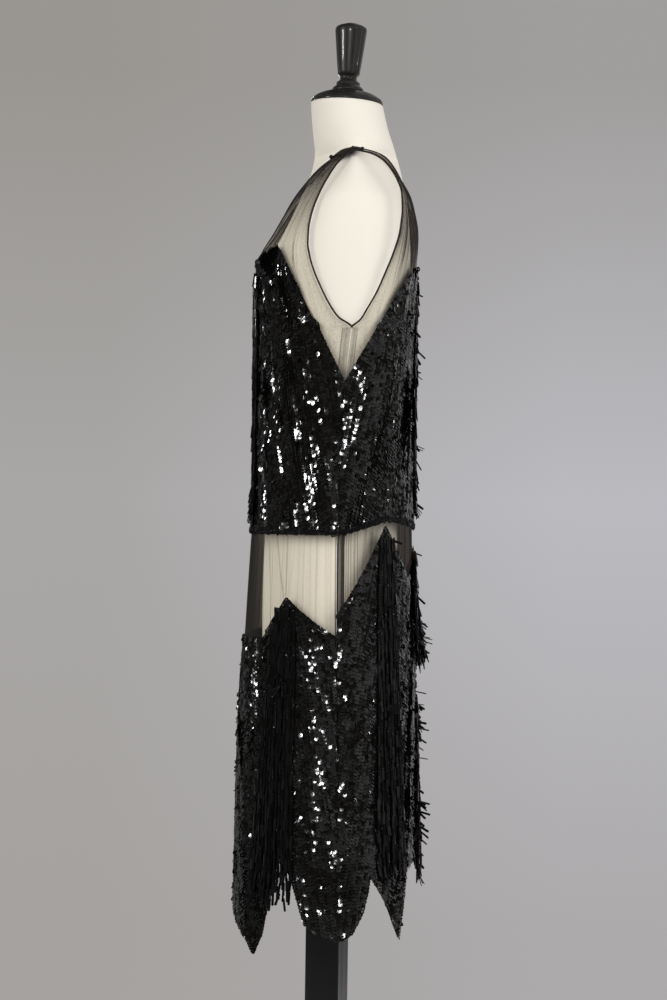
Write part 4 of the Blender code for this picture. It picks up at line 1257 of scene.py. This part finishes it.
form = {
    "rings": 150,
    "sides": 96,
    "tipPasses": 60,
    "neckTilt": math.radians(2.4),
    "neckCentre": (0.0, 0.0103, 1.4910),
    "gap": 0.0003,  # between the neck, its cap and the finial
}


def roundedTips(points):  # smooths the ridge that the rows leave along the top of each shoulder
    high = np.clip((points[..., 2] - 1.355) / 0.02, 0, 1)
    aside = np.clip((np.abs(points[..., 0]) - 0.060) / 0.02, 0, 1)
    share = 0.5 * (high * aside)[1:-1, :, None]
    for _ in range(form["tipPasses"]):
        beside = (np.roll(points, 1, axis=1) + np.roll(points, -1, axis=1))[1:-1]
        average = (beside + points[:-2] + points[2:]) / 4
        points[1:-1] += share * (average - points[1:-1])
    return points


def formBody():
    rows = np.array(formRows)
    lengths = lengthAlong(rows[:, [0, 1, 3]])
    fine = np.sort(np.concatenate([np.linspace(0, lengths[-1], form["rings"]), lengths]))
    fine = fine[np.concatenate([[True], np.diff(fine) > 1e-5])]
    level, yFront, yBack, halfWidth, ySide, curve = smoothTable(lengths, rows, fine).T[..., None]
    angles = turns(form["sides"])
    sine, cosine = np.sin(angles)[None], np.cos(angles)[None]
    x = halfWidth * np.sign(sine) * np.abs(sine) ** curve
    reach = np.where(cosine > 0, ySide - yFront, yBack - ySide)
    y = ySide - reach * np.sign(cosine) * np.abs(cosine) ** curve
    tilt = math.tan(form["neckTilt"]) * np.clip((level - 1.44) / 0.035, 0, 1)
    z = level - tilt * (y - form["neckCentre"][1])
    points = roundedTips(np.stack([x, y, z], axis=-1))
    rings, sides = points.shape[:2]
    middles = np.array([points[0].mean(axis=0), points[-1].mean(axis=0)])
    topRing = (rings - 1) * sides
    underneath = rings * sides
    caps = []
    for k in range(sides):
        following = (k + 1) % sides
        caps.append((underneath, following, k))
        caps.append((underneath + 1, topRing + k, topRing + following))
    walls = tubeFaces(rings, sides).tolist()
    made = meshOf("form_body_jersey", np.concatenate([points.reshape(-1, 3), middles]), walls + caps, jersey)
    made.data.polygons.foreach_set("use_smooth", [True] * len(walls) + [False] * len(caps))
    made.data.update()
    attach(made, "root")
    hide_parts("form_body")


capProfile = (
    (0.0, 0.0), (0.0480, 0.0), (0.0486, 0.0006), (0.0486, 0.0026), (0.0480, 0.0042), (0.0462, 0.0072),
    (0.0430, 0.0096), (0.0400, 0.0114), (0.0355, 0.0135), (0.0310, 0.0150), (0.0262, 0.0161),
    (0.0222, 0.0167), (0.0, 0.0168),
)
finialProfile = (
    (0.0, 0.0), (0.0206, 0.0), (0.0212, 0.0006), (0.0213, 0.0018), (0.0210, 0.0034), (0.0190, 0.0060),
    (0.0168, 0.0074), (0.0157, 0.0084), (0.0159, 0.0105), (0.0156, 0.0124), (0.0128, 0.0142),
    (0.0113, 0.0162), (0.0111, 0.0185), (0.0114, 0.0206), (0.0132, 0.0222), (0.0146, 0.0236),
    (0.0150, 0.0260), (0.0168, 0.0400), (0.0187, 0.0570), (0.0205, 0.0740), (0.0212, 0.0800),
    (0.0213, 0.0830), (0.0210, 0.0852), (0.0200, 0.0870), (0.0170, 0.0888), (0.0092, 0.0914),
    (0.0086, 0.0917), (0.0, 0.0918),
)
baseProfile = (
    (0.0, 0.0), (0.2085, 0.0), (0.2097, 0.0005), (0.2100, 0.0020), (0.2100, 0.0130), (0.2092, 0.0152),
    (0.2070, 0.0180), (0.2045, 0.0195), (0.2010, 0.0200), (0.0, 0.0200),
)


def turnedPieces():
    tilt = form["neckTilt"]
    x, y, z = form["neckCentre"]
    height = form["gap"]
    for name, profile in (("neck_cap", capProfile), ("finial", finialProfile)):
        made = turnedMesh(name + "_turned", profile, lacquer)
        made.rotation_euler = (-tilt, 0.0, 0.0)
        made.location = (x, y + height * math.sin(tilt), z + height * math.cos(tilt))
        height += profile[-1][1] + form["gap"]
        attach(made, "root")
        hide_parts(name)
    base = turnedMesh("base_disc", baseProfile, postWood, segments=128)
    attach(base, "root")
    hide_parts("base")


post = {"side": 0.0466, "turn": math.radians(-17.0), "arris": 0.0015}


def postPiece():
    low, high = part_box("post")
    half = post["side"] / 2
    edge = post["arris"]
    corners = []
    for cx, cy in ((1, 1), (-1, 1), (-1, -1), (1, -1)):
        first = (cx * half, cy * (half - edge))
        second = (cx * (half - edge), cy * half)
        corners += [first, second] if cx * cy > 0 else [second, first]
    corners = np.array(corners)
    turn = post["turn"]
    spin = np.array([[math.cos(turn), -math.sin(turn)], [math.sin(turn), math.cos(turn)]])
    corners = corners @ spin.T
    rings = []
    for z in (low[2], (low[2] + high[2]) / 2, high[2]):
        rings.append(np.column_stack([corners, np.full(8, z)]))
    points = np.concatenate(rings)
    faces = [tuple(range(8))[::-1], tuple(range(16, 24))]
    for ring in range(2):
        for k in range(8):
            a = 8 * ring + k
            b = 8 * ring + (k + 1) % 8
            faces.append((a, b, b + 8, a + 8))
    made = meshOf("post_wood", points, faces, postWood, smooth=False)
    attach(made, "root")
    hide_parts("post")


formBody()
turnedPieces()
postPiece()
print("form ready")
